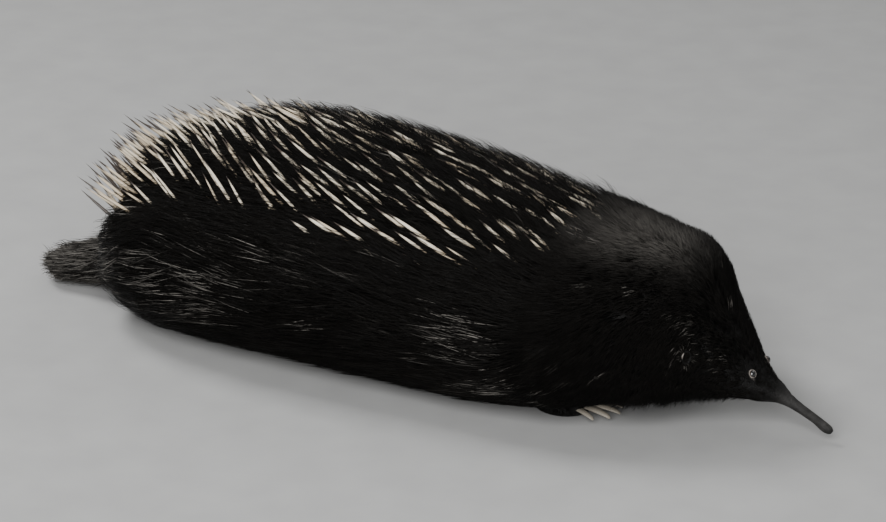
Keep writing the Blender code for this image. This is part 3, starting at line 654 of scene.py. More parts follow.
def join_into(piece, others, operation="UNION"):
    """Join or cut a piece by others with one Boolean, which is applied."""
    tools = bpy.data.collections.new(piece.name + "_tools")
    for other in others:
        tools.objects.link(other)
    change = piece.modifiers.new("change", "BOOLEAN")
    change.operation = operation
    change.operand_type = "COLLECTION"
    change.collection = tools
    change.solver = "EXACT"
    bpy.context.view_layer.objects.active = piece
    bpy.ops.object.modifier_apply(modifier=change.name)
    for other in others:
        bpy.data.objects.remove(other)
    bpy.data.collections.remove(tools)


def ring_turns(sides):
    return (np.arange(sides) + 0.5) * math.tau / sides


def facing(outward):
    """A turn whose Z looks outward and whose Y leans up."""
    outward = Vector(outward)
    tall = (Vector((0, 0, 1)) - outward * outward.z).normalized()
    wide = tall.cross(outward)
    return Matrix((wide, tall, outward)).transposed()


def turn_of(rise, side):
    """The turn round the trunk of a rise in degrees above the widest line of a side."""
    return np.radians(np.where(side > 0, rise, 180.0 - rise))


def trunk_spot(x, rise, side, inset=0.0):
    """A spot on the trunk and its outward direction."""
    turn = turn_of(rise, side)
    return Vector(trunk_point(x, turn, inset)), Vector(surface_normal(trunk_point, x, turn))


# Shapes that are modelled once and copied many times

PATCH = 0.003  # side of a tuft's patch on the unwrap
PATCH_EDGE, PATCH_FIELD = 0.01, 0.97  # where the patches start on the unwrap, how far they reach
PIECE_TRIANGLES = 190000  # most triangles in one piece of the coat


def patch_corners(along, around):
    """The corner of each tuft's patch on the unwrap, from its shares along and round."""
    return np.stack((PATCH_EDGE + PATCH_FIELD * along, PATCH_EDGE + PATCH_FIELD * around), axis=-1)


def paint(mesh, name, values):
    """Write a colour attribute from three channels by point."""
    colour = mesh.color_attributes.new(name=name, type="FLOAT_COLOR", domain="POINT")
    full = np.concatenate((values, np.ones(values.shape[:-1] + (1,))), axis=-1)
    colour.data.foreach_set("color", full.astype(np.float32).reshape(-1))


def model_spindle(name, sides, rings, tip_radius=0.0):
    """A cone cut into rings that are then widened or narrowed, one long and one in radius.

    rings lists each cut's height as a share of the length, and its radius.
    """
    bpy.ops.mesh.primitive_cone_add(
        vertices=sides, radius1=rings[0][1], radius2=tip_radius, depth=1.0, location=(0, 0, 0.5)
    )
    piece = settle(added(name))
    bpy.ops.object.mode_set(mode="EDIT")
    for (below, radius_below), (height, radius) in zip(rings, rings[1:]):
        bpy.ops.mesh.select_all(action="SELECT")
        bpy.ops.mesh.bisect(plane_co=(0, 0, height), plane_no=(0, 0, 1))
        cut_radius = mix(radius_below, tip_radius, (height - below) / (1.0 - below))
        size = radius / cut_radius
        bpy.ops.transform.resize(value=(size, size, 1.0))
    bpy.ops.mesh.select_all(action="SELECT")
    bpy.ops.mesh.quads_convert_to_tris()
    bpy.ops.mesh.normals_make_consistent(inside=False)
    bpy.ops.object.mode_set(mode="OBJECT")
    return piece


class Pattern:
    """A modelled shape read once: its points as shares across, over and along, and its faces."""

    def __init__(self, piece):
        mesh = piece.data
        self.across, self.over, self.along = points_of(mesh).T
        self.faces = np.array([face.vertices[:] for face in mesh.polygons])
        self.levels, self.level_of = np.unique(np.round(self.along, 4), return_inverse=True)
        bpy.data.objects.remove(piece)


def copies_mesh(name, points, faces, tint, patches=None, pattern=None):
    """One object that holds every copy: points and tint by copy and point, faces of one copy."""
    copies, per_copy = points.shape[:2]
    corners = (faces[None] + (np.arange(copies) * per_copy)[:, None, None]).reshape(-1)
    mesh = bpy.data.meshes.new(name)
    mesh.vertices.add(copies * per_copy)
    mesh.vertices.foreach_set("co", points.astype(np.float32).reshape(-1))
    mesh.loops.add(len(corners))
    mesh.loops.foreach_set("vertex_index", corners.astype(np.int32))
    mesh.polygons.add(len(corners) // 3)
    mesh.polygons.foreach_set("loop_start", np.arange(0, len(corners), 3, dtype=np.int32))
    mesh.update(calc_edges=True)
    if patches is not None:
        spot = np.stack((
            0.5 + 0.45 * pattern.across / np.abs(pattern.across).max(),
            0.12 + 0.76 * pattern.along + 0.10 * pattern.over,
        ), axis=-1)
        own = patches[:, None, :] + PATCH * spot[None]
        layer = mesh.uv_layers.new(name="OFBake")
        layer.data.foreach_set("uv", own.reshape(-1, 2)[corners].astype(np.float32).reshape(-1))
    paint(mesh, "Tint", tint)
    mesh.shade_smooth()
    piece = bpy.data.objects.new(name, mesh)
    bpy.context.scene.collection.objects.link(piece)
    return piece


def comb(name, pattern, places_at, size, patches, tint, slot, material):
    """Copy a tuft along the paths that places_at gives, in as many pieces as they need.

    places_at gives points and outward directions for a share of the length. size is each
    tuft's width, thickness and roll about its length, tint its random shade and its paleness.
    """
    width, thickness, roll = size
    shares = pattern.levels
    middles = [places_at(share) for share in shares]
    points = np.stack([point for point, _ in middles])
    outward = np.stack([normal for _, normal in middles])
    ahead = unit(np.gradient(points, shares, axis=0))
    beside = unit(np.cross(ahead, outward))
    over = np.cross(beside, ahead)
    turned = np.cos(roll)[:, None] * beside + np.sin(roll)[:, None] * over
    lifted = np.cos(roll)[:, None] * over - np.sin(roll)[:, None] * beside
    level = pattern.level_of
    mesh_points = (
        points[level]
        + turned[level] * (pattern.across[:, None] * width)[..., None]
        + lifted[level] * (pattern.over[:, None] * thickness)[..., None]
    ).transpose(1, 0, 2)
    mesh_points[..., 2] = np.maximum(mesh_points[..., 2], FLOOR_CLEAR)
    shade, pale = tint
    copies = len(width)
    colour = np.empty(mesh_points.shape)
    colour[..., 0] = pattern.along[None]
    colour[..., 1] = shade[:, None]
    colour[..., 2] = pale[:, None]
    parts = math.ceil(copies * len(pattern.faces) / PIECE_TRIANGLES)
    for part, chosen in enumerate(np.array_split(np.arange(copies), parts), 1):
        label = name if parts == 1 else f"{name}_{part}"
        piece = copies_mesh(
            label, mesh_points[chosen], pattern.faces, colour[chosen], patches[chosen], pattern,
        )
        add_finished(piece, slot, material)


# The coat of the trunk

def scatter(draw, count, x_range, rise_range):
    """Places along and round the trunk, evenly spread over its surface."""
    inside = (ALONG_X >= x_range[0]) & (ALONG_X <= x_range[1])
    places = ALONG_X[inside]
    girth = top_at(places) - bottom_at(places) + 2 * half_width_at(places)
    total = np.cumsum(girth * np.gradient(ALONG_LENGTH)[inside])
    x = np.interp(draw.random(count) * total[-1], total, places)
    rise = draw.uniform(rise_range[0], rise_range[1], count)
    side = draw.choice((-1.0, 1.0), count)
    return x, rise, side


def spine_share(x, rise):
    """How much a spot belongs to the spines' field, from 0 to 1."""
    low = spine_low_at(x)
    up = step_between(low - SPINE_EDGE, low + SPINE_EDGE, rise)
    front = 1 - step_between(SPINE_FADE - SPINE_FADE_BEHIND, SPINE_FADE + SPINE_FADE_AHEAD, x)
    return up * front


def drift(x, rise, length, phase):
    """A slow wander over the trunk, from -1 to 1, that bends the hair in sweeps."""
    along = x / length + phase
    up = rise / (900.0 * length) + 2.3 * phase
    sweep = np.sin(along + 1.3 * np.sin(up + 0.6 * along))
    return sweep * np.cos(0.8 * up - 0.5 * np.sin(1.7 * along))


def within(zone, x, rise):
    """How much a spot belongs to a zone, from 0 to 1."""
    share = step_between(*zone[0], rise)
    for start, full in zone[1:]:
        share = share * step_between(start, full, x)
    return share


def sheen_share(x, rise):
    """How many strands of a spot carry painted sheen: rump, lower flank, hem, elbow, shoulder and
    cheek.
    """
    share = np.zeros(np.shape(x))
    for at_x, at_rise, wide, tall, most in SHEEN_PATCHES:
        near = np.exp(-((x - at_x) / wide) ** 2 - ((rise - at_rise) / tall) ** 2)
        share = np.maximum(share, most * near)
    return share


def coat_paths(draw, clumps, members, look):
    """Tufts of the trunk in clumps, as a path function and the arrays that dress them."""
    x, rise, side = (np.repeat(values, members) for values in clumps)
    groups = len(clumps[0])
    copies = len(x)

    def by_clump(low, high):
        return np.repeat(draw.uniform(low, high, groups), members)

    half = half_width_at(x)
    aside = draw.normal(0.0, look["clump"], copies)
    ahead = draw.normal(0.0, look["clump"], copies)
    rise_aside = np.degrees(aside / np.maximum(half, 0.006))
    start = length_at(x) + ahead
    root_rise = rise + rise_aside
    on_back = within(BACK, x, rise)
    x_root = x_at(start)
    length = mix(flank_length_at(x_root), back_length_at(x_root), on_back)
    length = length * by_clump(*CLUMP_LENGTHS) * draw.uniform(*TUFT_LENGTHS, copies)
    length = length * look["length"]
    zone = spine_share(x, root_rise)
    crest = within(CREST, x, root_rise)
    shallow = look["tip"] + look["under_spines"] * zone * (1 - CREST_HIGHER * crest)
    uneven = by_clump(*CLUMP_DEPTHS) + draw.uniform(*TUFT_DEPTHS, copies)
    throat = within(THROAT, x, root_rise)
    fringe = within(BELLY_FRINGE, x, root_rise) * look["fringe"]
    over_paw = within(OVER_PAW, x, root_rise)
    ragged = THROAT_RAGGED * throat + FRINGE_RAGGED * fringe
    uneven = uneven * look["uneven"] - ragged * by_clump(0.0, 1.0) * draw.random(copies)
    sag = (THROAT_SAG * throat + FRINGE_SAG * fringe) * by_clump(0.0, 1.0) * draw.random(copies)
    length = length * (1 + THROAT_LONGER * throat) * (1 - PAW_SHORTER * over_paw)
    shallow = shallow + PAW_DEEPER * over_paw - FOREHEAD_HIGHER * within(FOREHEAD, x, root_rise)
    tip_depth = np.minimum(shallow + uneven, skin_at(x_root) * DEEPEST_TIP)
    hem = within(HEM, x, rise)
    hang = hang_at(x) + HEM_HANG * hem + look["drift"] * drift(x, rise, length=0.016, phase=0.7)
    hang = hang * look["hang"] + look["spread"] * by_clump(-1.0, 1.0)
    hang = hang + draw.normal(0.0, HANG_STRAY, copies)
    fading = step_between(HANG_FADES_FROM[0], HANG_FADES_TO[0], x)
    fade = mix(HANG_FADES_FROM[1], HANG_FADES_TO[1], fading)
    hang = np.radians(hang) * np.cos(np.radians(rise)) ** fade
    swing = np.degrees(draw.normal(0.0, look["stray"], copies) / np.maximum(half, 0.006))
    wavier = 1 + WAVIER * hem + WAVIER * step_between(*RUMP_WAVES, x)
    wave = by_clump(-1.0, 1.0) * draw.uniform(0.7, 1.0, copies) * look["wave"] * wavier
    phase = by_clump(0.0, math.tau)
    root_depth = skin_at(x_root) + ROOT_DEEPER
    gather = look["gather"]
    stand = look["stand"]
    held_half = np.maximum(half, 0.01)

    def places_at(share):
        reach = share ** (1.0 + stand)
        went = np.cos(hang) * length * reach + ahead * gather * share ** GATHER_EASE
        length_here = start - went
        past = PAST_RUMP * np.tanh(np.minimum(length_here, 0.0) / PAST_RUMP)
        here = x_at(length_here)
        fallen = np.degrees(np.sin(hang) * length / held_half) * share ** FALL_EASE
        curl = np.degrees(wave * np.sin(math.tau * WAVES * share + phase) / held_half) * share
        closed = rise_aside * gather * share ** GATHER_EASE
        at_rise = root_rise - fallen - closed + curl + swing * share ** STRAY_EASE
        below = LOWEST_RISE + PAST_LOWEST * (at_rise - LOWEST_RISE)
        at_rise = np.where(at_rise < LOWEST_RISE, below, at_rise)
        rises_out = math.sin(0.5 * math.pi * share ** RISE_EASE)
        inset = root_depth * (1 - rises_out) + tip_depth * rises_out
        turn = turn_of(at_rise, side)
        point = trunk_point(here, turn, inset)
        point[..., 0] += past
        point[..., 2] -= sag * share ** 2
        return point, surface_normal(trunk_point, np.maximum(here, RUMP_END + 0.001), turn)

    width = look["width"] * draw.uniform(*TUFT_WIDTHS, copies)
    size = (width, width * look["flat"], draw.normal(0.0, ROLL_STRAY, copies))
    along = (x_root - RUMP_END) / (BEAK_END - RUMP_END)
    round_share = (turn_of(root_rise, side) / math.tau + 0.25) % 1.0
    patches = patch_corners(along, round_share)
    shade = by_clump(0.0, 1.0) ** 1.6 * 0.7 + draw.random(copies) * 0.3
    # Pale strands of painted sheen, most of them in the patches and a few elsewhere.
    region = sheen_share(x, root_rise) * look["pale"]
    lit = by_clump(0.0, 1.0) < SHEEN_ALONE * look["pale"] + SHEEN_CLUMPS * region
    lit &= draw.random(copies) < SHEEN_STRANDS
    pale = np.where(lit, by_clump(0.15, 1.0) * draw.uniform(0.3, 1.0, copies), 0.0)
    # A painted sheen along the top of the crown, lighter where the light falls on it.
    rim = look["rim"] * within(CROWN_SHEEN, x, root_rise)
    pale = np.maximum(pale, rim * draw.uniform(0.2, 1.0, copies))
    return places_at, size, patches, (shade, pale)


# Finishes

GROUPS = {}


def add_node(tree, kind, **values):
    """A node with some of its own values and, by name with underscores, its inputs' values."""
    node = tree.nodes.new(kind)
    for name, value in values.items():
        if hasattr(node, name):
            setattr(node, name, value)
        else:
            node.inputs[name.replace("_", " ")].default_value = value
    return node


def attribute_parts(tree, name):
    """The three channels of a colour attribute."""
    source = add_node(tree, "ShaderNodeAttribute", attribute_name=name)
    parts = tree.nodes.new("ShaderNodeSeparateColor")
    tree.links.new(source.outputs["Color"], parts.inputs[0])
    return parts.outputs


def new_group(name, inputs, outputs):
    """An empty node group with its named sockets, and its input and output nodes."""
    tree = bpy.data.node_groups.new(name, "ShaderNodeTree")
    for label, kind, default in inputs:
        socket = tree.interface.new_socket(name=label, in_out="INPUT", socket_type=kind)
        if default is not None:
            socket.default_value = default
    for label, kind in outputs:
        tree.interface.new_socket(name=label, in_out="OUTPUT", socket_type=kind)
    return tree, tree.nodes.new("NodeGroupInput"), tree.nodes.new("NodeGroupOutput")


def use_group(tree, name, **values):
    return add_node(tree, "ShaderNodeGroup", node_tree=GROUPS[name], **values)


def feed(tree, socket, value):
    """Link a socket to another one, or give it a plain value."""
    if isinstance(value, bpy.types.NodeSocket):
        tree.links.new(value, socket)
    else:
        socket.default_value = value


def math_node(tree, operation, *values, clamp=False):
    node = add_node(tree, "ShaderNodeMath", operation=operation, use_clamp=clamp)
    for socket, value in zip(node.inputs, values):
        feed(tree, socket, value)
    return node.outputs[0]


def mix_colours(tree, share, first, second, kind="MIX"):
    node = add_node(tree, "ShaderNodeMix", data_type="RGBA", blend_type=kind)
    for place, value in ((0, share), (6, first), (7, second)):
        feed(tree, node.inputs[place], value)
    return node.outputs[2]


def ramp(tree, value, low, high, start=0.0, end=1.0):
    """A value stretched so that low becomes start and high becomes end."""
    node = add_node(
        tree, "ShaderNodeMapRange", From_Min=low, From_Max=high, To_Min=start, To_Max=end,
    )
    tree.links.new(value, node.inputs["Value"])
    return node.outputs["Result"]


def scaled_colour(colour, factor):
    return tuple(channel * factor for channel in colour)


def build_grain_group():
    """Height and mottling of a fine grain in Object coordinates, shared by every finish."""
    tree, entry, exit_node = new_group(
        "Fine Grain",
        (("Scale", "NodeSocketFloat", None), ("Stretch", "NodeSocketVector", (1.0, 1.0, 1.0))),
        (("Height", "NodeSocketFloat"), ("Mottle", "NodeSocketFloat")),
    )
    place = tree.nodes.new("ShaderNodeTexCoord")
    scaled = add_node(tree, "ShaderNodeVectorMath", operation="MULTIPLY")
    tree.links.new(place.outputs["Object"], scaled.inputs[0])
    tree.links.new(entry.outputs["Stretch"], scaled.inputs[1])
    fine = add_node(tree, "ShaderNodeTexNoise", Detail=4.0, Roughness=0.6)
    tree.links.new(scaled.outputs[0], fine.inputs["Vector"])
    tree.links.new(entry.outputs["Scale"], fine.inputs["Scale"])
    coarse = add_node(tree, "ShaderNodeTexNoise", Detail=2.0)
    tree.links.new(scaled.outputs[0], coarse.inputs["Vector"])
    broad = math_node(tree, "MULTIPLY", entry.outputs["Scale"], 0.16)
    tree.links.new(broad, coarse.inputs["Scale"])
    tree.links.new(fine.outputs["Fac"], exit_node.inputs["Height"])
    tree.links.new(ramp(tree, coarse.outputs["Fac"], 0.30, 0.70), exit_node.inputs["Mottle"])
    return tree


def build_hair_group():
    """Colour of a hair from its root to its tip, with each hair's own shade and paleness; on the
    trunk's coat the paleness is painted sheen.
    """
    colour = "NodeSocketColor"
    tree, entry, exit_node = new_group(
        "Hair Colour",
        [(label, colour, None) for label in ("Root", "Tip", "Pale")],
        (("Colour", colour), ("Mottle", "NodeSocketFloat")),
    )
    share, shade, pale = attribute_parts(tree, "Tint")
    grain = use_group(tree, "grain", Scale=60.0)
    rooted = mix_colours(tree, share, entry.outputs["Root"], entry.outputs["Tip"])
    bright = math_node(tree, "MULTIPLY_ADD", shade, 1.1, 0.45)
    shaded = mix_colours(tree, 1.0, rooted, bright, kind="MULTIPLY")
    dust = math_node(tree, "MULTIPLY", grain.outputs["Mottle"], 0.35)
    dusty = mix_colours(tree, dust, shaded, HAIR_DUST)
    # The pale colour laid along a strand's middle: painted sheen on the trunk's coat and crown,
    # pale hair on the tail and ears.
    streak = math_node(tree, "MULTIPLY", pale, ramp(tree, share, 0.15, 0.60), clamp=True)
    streaked = mix_colours(tree, streak, dusty, entry.outputs["Pale"])
    tree.links.new(streaked, exit_node.inputs["Colour"])
    tree.links.new(grain.outputs["Mottle"], exit_node.inputs["Mottle"])
    return tree


def new_finish(name, roughness, specular, **sockets):
    """A material with its shader, whose plain values are set on the shader itself."""
    material = bpy.data.materials.new(name)
    material.use_nodes = True
    tree = material.node_tree
    shader = tree.nodes["Principled BSDF"]
    shader.inputs["Roughness"].default_value = roughness
    shader.inputs["Specular IOR Level"].default_value = specular
    for label, value in sockets.items():
        shader.inputs[label.replace("_", " ")].default_value = value
    return material, tree, shader


def bump(tree, shader, height, strength, distance):
    node = add_node(tree, "ShaderNodeBump", Strength=strength, Distance=distance)
    tree.links.new(height, node.inputs["Height"])
    tree.links.new(node.outputs["Normal"], shader.inputs["Normal"])


def hair_finish(name, colours, roughness, specular):
    material, tree, shader = new_finish(name, roughness, specular)
    fur = use_group(
        tree, "hair", Root=colours.fur_root, Tip=colours.fur_tip, Pale=colours.fur_pale,
    )
    tree.links.new(fur.outputs["Colour"], shader.inputs["Base Color"])
    rough = ramp(tree, fur.outputs["Mottle"], 0.0, 1.0, roughness - 0.06, roughness + 0.10)
    tree.links.new(rough, shader.inputs["Roughness"])
    return material


def skin_finish(colours):
    """Dark skin under the coat, grey pebbled hide on the beak, pale lids and ear rims."""
    material, tree, shader = new_finish("bare_skin", 0.60, 0.18)
    beak, pale, _ = attribute_parts(tree, "Zones")
    grain = use_group(tree, "grain", Scale=1500.0)
    pebbles = add_node(tree, "ShaderNodeTexVoronoi", Scale=1300.0, feature="F1")
    place = tree.nodes.new("ShaderNodeTexCoord")
    tree.links.new(place.outputs["Object"], pebbles.inputs["Vector"])
    worn_hide = scaled_colour(colours.beak, 2.4)
    hide = mix_colours(tree, grain.outputs["Mottle"], colours.beak, worn_hide)
    under = mix_colours(tree, beak, colours.fur_root, hide)
    worn = mix_colours(tree, pale, under, colours.lid)
    tree.links.new(worn, shader.inputs["Base Color"])
    domes = math_node(tree, "MULTIPLY", pebbles.outputs["Distance"], -0.8)
    fine = math_node(tree, "MULTIPLY", grain.outputs["Height"], 0.5)
    bump(tree, shader, math_node(tree, "ADD", domes, fine), 0.60, 0.0006)
    return material


def spine_finish(colours):
    """Ivory spines with straw roots, dark tips and fine length-wise grain."""
    material, tree, shader = new_finish("spine_ivory", 0.36, 0.5)
    share, shade, tip_start = attribute_parts(tree, "Tint")
    grain = use_group(tree, "grain", Scale=700.0, Stretch=(0.25, 1.0, 1.0))
    root = colours.spine_root
    shaft = mix_colours(tree, ramp(tree, share, 0.10, 0.50), root, colours.spine)
    aged = mix_colours(tree, math_node(tree, "MULTIPLY", shade, 0.65), shaft, root)
    mottle = math_node(tree, "MULTIPLY", grain.outputs["Mottle"], 0.22)
    mottled = mix_colours(tree, mottle, aged, scaled_colour(root, 0.6))
    into_tip = math_node(tree, "SUBTRACT", share, tip_start)
    tipped = mix_colours(tree, ramp(tree, into_tip, 0.0, 0.10), mottled, colours.spine_tip)
    tree.links.new(tipped, shader.inputs["Base Color"])
    bump(tree, shader, grain.outputs["Height"], 0.2, 0.0002)
    return material


def claw_finish(colours):
    """Horn with growth lines across it, darker at the root and rubbed pale at the tip."""
    material, tree, shader = new_finish("claw_horn", 0.42, 0.45)
    share, shade, _ = attribute_parts(tree, "Tint")
    grain = use_group(tree, "grain", Scale=500.0)
    dark = scaled_colour(colours.claw, 0.35)
    body = mix_colours(tree, ramp(tree, share, 0.05, 0.60), dark, colours.claw)
    streak = math_node(tree, "MULTIPLY", grain.outputs["Mottle"], 0.45)
    streaked = mix_colours(tree, streak, body, dark)
    soiled = mix_colours(tree, math_node(tree, "MULTIPLY", shade, 0.25), streaked, dark)
    tree.links.new(soiled, shader.inputs["Base Color"])
    lines = math_node(tree, "SINE", math_node(tree, "MULTIPLY", share, 95.0))
    grooves = math_node(tree, "MULTIPLY", lines, 0.35)
    bump(tree, shader, math_node(tree, "ADD", grooves, grain.outputs["Height"]), 0.3, 0.0003)
    return material


def eye_finish(colours):
    """A dark wet eye with a brown iris round its pupil."""
    material, tree, shader = new_finish("wet_eye", 0.12, 0.6, Coat_Weight=1.0, Coat_Roughness=0.03)
    share, _, _ = attribute_parts(tree, "Tint")
    grain = use_group(tree, "grain", Scale=2500.0)
    pupil = ramp(tree, share, 0.78, 0.84)
    iris = mix_colours(tree, grain.outputs["Mottle"], colours.eye, scaled_colour(colours.eye, 2.2))
    tree.links.new(mix_colours(tree, pupil, iris, PUPIL), shader.inputs["Base Color"])
    return material


def floor_finish():
    material, tree, shader = new_finish("pale_floor", 0.9, 0.15)
    grain = use_group(tree, "grain", Scale=220.0)
    tone = mix_colours(tree, grain.outputs["Mottle"], *FLOOR_TONES)
    tree.links.new(tone, shader.inputs["Base Color"])
    return material


# Sizes and colours that a user would change

class EchidnaSizes(bpy.types.PropertyGroup):
    """Sizes of the skin, coat and spines."""

    coat_fullness: bpy.props.FloatProperty(
        name="Coat fullness", description="Number of clumps of hair against the full coat",
        default=1.0, min=0.05, max=1.2, subtype="FACTOR",
    )
    hair_width: bpy.props.FloatProperty(
        name="Hair width", description="Width of every tuft against its usual one",
        default=1.0, min=0.3, max=3.0, subtype="FACTOR",
    )
    spine_radius: bpy.props.FloatProperty(
        name="Spine radius", description="Radius of a spine at its thickest",
        default=0.00098, min=0.0005, max=0.003, precision=5, unit="LENGTH",
    )
    skin_sides: bpy.props.IntProperty(
        name="Skin sides", description="Points round a section of the skin",
        default=56, min=16, max=128,
    )
    skin_step: bpy.props.FloatProperty(
        name="Skin step", description="Distance between sections of the skin",
        default=0.0032, min=0.001, max=0.02, precision=4, unit="LENGTH",
    )
    seed: bpy.props.IntProperty(
        name="Seed", description="Number that the random draws start from", default=SEED,
    )


def colour_property(name, description, default):
    return bpy.props.FloatVectorProperty(
        name=name, description=description, default=default + (1.0,),
        size=4, min=0.0, max=1.0, subtype="COLOR",
    )


class EchidnaColours(bpy.types.PropertyGroup):
    """Colours of the hair, skin, spines, claws and eyes."""

    fur_root: colour_property("Fur root", "Hair where it leaves the skin", (0.0018, 0.0016, 0.0014))
    fur_tip: colour_property("Fur tip", "Hair at its tip", (0.0055, 0.0048, 0.0041))
    # The pale strands' colour: painted sheen on the trunk's coat and crown, pale hair on the tail
    # and ears.
    fur_pale: colour_property("Pale hair", "The scattered pale strands", (0.270, 0.252, 0.228))
    spine: colour_property("Spine", "Shaft of a spine", (0.760, 0.690, 0.560))
    spine_root: colour_property("Spine root", "Spine near the skin", (0.420, 0.320, 0.200))
    spine_tip: colour_property("Spine tip", "Dark end of a spine", (0.045, 0.033, 0.026))
    beak: colour_property("Beak", "Bare skin of the beak", (0.0125, 0.0120, 0.0115))
    lid: colour_property("Lids", "Rims of the lids and ears", (0.240, 0.215, 0.195))
    claw: colour_property("Claw", "Horn of the claws", (0.330, 0.295, 0.240))
    eye: colour_property("Eye", "Iris of the eyes", (0.020, 0.013, 0.009))


# The skin

def trunk_rings(sides, step):
    """Sections of the trunk's skin, closer together on the head and beak."""
    places = np.concatenate((
        np.linspace(RUMP_END, RUMP_RINGS_TO, 10)[:-1],
        np.arange(RUMP_RINGS_TO, HEAD_BACK, step),
        np.arange(HEAD_BACK, BEAK_BACK, 0.45 * step),
        np.linspace(BEAK_BACK, BEAK_END - CAP_LONG, 20),
        np.linspace(BEAK_END - CAP_LONG, BEAK_END, 5)[1:],
    ))
    turns = ring_turns(sides)
    folds = FOLD_DEPTH * np.sin((places - FOLD_START) * FOLD_RATE) * step_between(*FOLDS_IN, places)
    folds *= 1 - step_between(*FOLDS_OUT, places)
    uneven = 0.6 + 0.4 * np.sin(turns * 3)
    rings = [trunk_point(x, turns, skin_at(x) - fold * uneven) for x, fold in zip(places, folds)]
    tip = rings[-1]
    middle = tip.mean(axis=0)
    axis = np.array((math.cos(BEAK_LEAN), 0.0, -math.sin(BEAK_LEAN)))
    rings += [middle + (tip - middle) * size + axis * ahead for size, ahead in BEAK_CAP]
    return rings


def tail_rings():
    """Sections of the tail's skin, closer together at its tip."""
    start = TAIL_END + TAIL_SKIN
    even = np.arange(start + TAIL_STEP, TAIL_ROOT, TAIL_STEP)
    turns = ring_turns(LIMB_SIDES)
    return [tail_point(x, turns, TAIL_SKIN) for x in (*(start + TAIL_TIP_STEPS), *even)]


def leg_rings(paw, side):
    turns = ring_turns(LIMB_SIDES)
    return [leg_point(paw, side, height, turns) for height in np.array(LEG_RINGS)]


def claw_frame(paw, side, claw):
    """Root, forward direction and sideways direction of a claw."""
    x, y, heading, half_length, half_width = paw
    angle = math.radians(claw[0] * side)
    turn = Matrix.Rotation(math.radians(heading * side), 4, "Z")
    turn = Matrix.Translation((x, y * side, 0.0)) @ turn
    root = Vector((
        (half_length - CLAW_SUNK) * math.cos(angle),
        (half_width + TOE_OUT - CLAW_SUNK) * math.sin(angle),
        CLAW_HEIGHT,
    ))
    pointing = Vector((math.cos(angle * CLAW_FAN), math.sin(angle * CLAW_FAN), 0.0))
    pointing = turn.to_3x3() @ pointing
    return turn @ root, pointing, Vector((-pointing.y, pointing.x, 0.0))


def build_toe(paw, side, claw):
    """A toe that swells over its claw's root."""
    root, pointing, beside = claw_frame(paw, side, claw)
    up = Vector((0, 0, 1))
    middle = root + pointing * TOE_AHEAD - up * TOE_UNDER
    sizes = (TOE_LONG, TOE_WIDE * claw[2], TOE_TALL)
    return add_ball("toe", 16, 10, middle, (pointing, beside, up), sizes)


def build_ear(side):
    """The cup of an ear, grown out of the head and back in."""
    skin, outward = trunk_spot(EAR_X, EAR_TURN, side, float(skin_at(EAR_X)))
    turn = facing(outward)
    rings = []
    for radius, height in EAR_WALLS:
        tall = radius * EAR_TALL
        rings.append([
            skin + turn @ Vector((radius * math.cos(around), tall * math.sin(around), height))
            for around in ring_turns(24)
        ])
    return grow_tube("ear", rings)


def eye_place(side):
    """The middle and radius of an eye's solid, and the direction that the eye looks in."""
    low, high = (Vector(corner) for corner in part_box("eye_left" if side > 0 else "eye_right"))
    return (low + high) / 2, (high.z - low.z) / 2, trunk_spot(EYE_X, EYE_TURN, side)[1]


def build_lids(side):
    """The rims of the lids, almond shaped, round an eye."""
    middle, _, outward = eye_place(side)
    bpy.ops.mesh.primitive_torus_add(
        major_segments=36, minor_segments=12, major_radius=LID_RADIUS, minor_radius=LID_THICKNESS,
    )
    lids = added("lids")
    place = Matrix.Translation(middle + outward * LID_OUT) @ facing(outward).to_4x4()
    lids.data.transform(place @ Matrix.Diagonal((*LID_SHAPE, 1.0)))
    return lids


def beak_cuts():
    """Rounded cutters for the nostrils and the mouth's small slit."""
    tip = Vector((BEAK_END, 0.0, 0.5 * float(top_at(BEAK_END) + bottom_at(BEAK_END))))
    axis = Vector((math.cos(BEAK_LEAN), 0.0, -math.sin(BEAK_LEAN)))
    top = Vector((math.sin(BEAK_LEAN), 0.0, math.cos(BEAK_LEAN)))
    beside = Vector((0.0, 1.0, 0.0))
    cuts = []
    for side, ((back, up, aside), sizes) in ((1, NOSTRIL), (-1, NOSTRIL), (1, MOUTH)):
        middle = tip - axis * back + top * up + beside * aside * side
        cuts.append(add_ball("cut", 20, 12, middle, (axis, beside, top), sizes))
    return cuts


def openings(eye_reach, ear_reach):
    """The middle of each eye and ear, with the reach that is given for its kind."""
    for side, _ in SIDES:
        for x, rise, reach in ((EYE_X, EYE_TURN, eye_reach), (EAR_X, EAR_TURN, ear_reach)):
            yield np.array(trunk_spot(x, rise, side)[0]), reach


def mark_zones(piece):
    """Write on the skin where it is bare beak and where it is pale lid or ear."""
    points = points_of(piece.data)
    bare = step_between(BARE_FROM, BARE_TO, points[:, 0] - BARE_SLANT * points[:, 2])
    pale = np.zeros(len(points))
    for middle, reach in openings(EYE_PALE, EAR_PALE):
        near = np.linalg.norm(points - middle, axis=1)
        pale = np.maximum(pale, 1 - step_between(reach - 0.0003, reach + 0.0001, near))
    paint(piece.data, "Zones", stacked(bare, pale, 0.0))


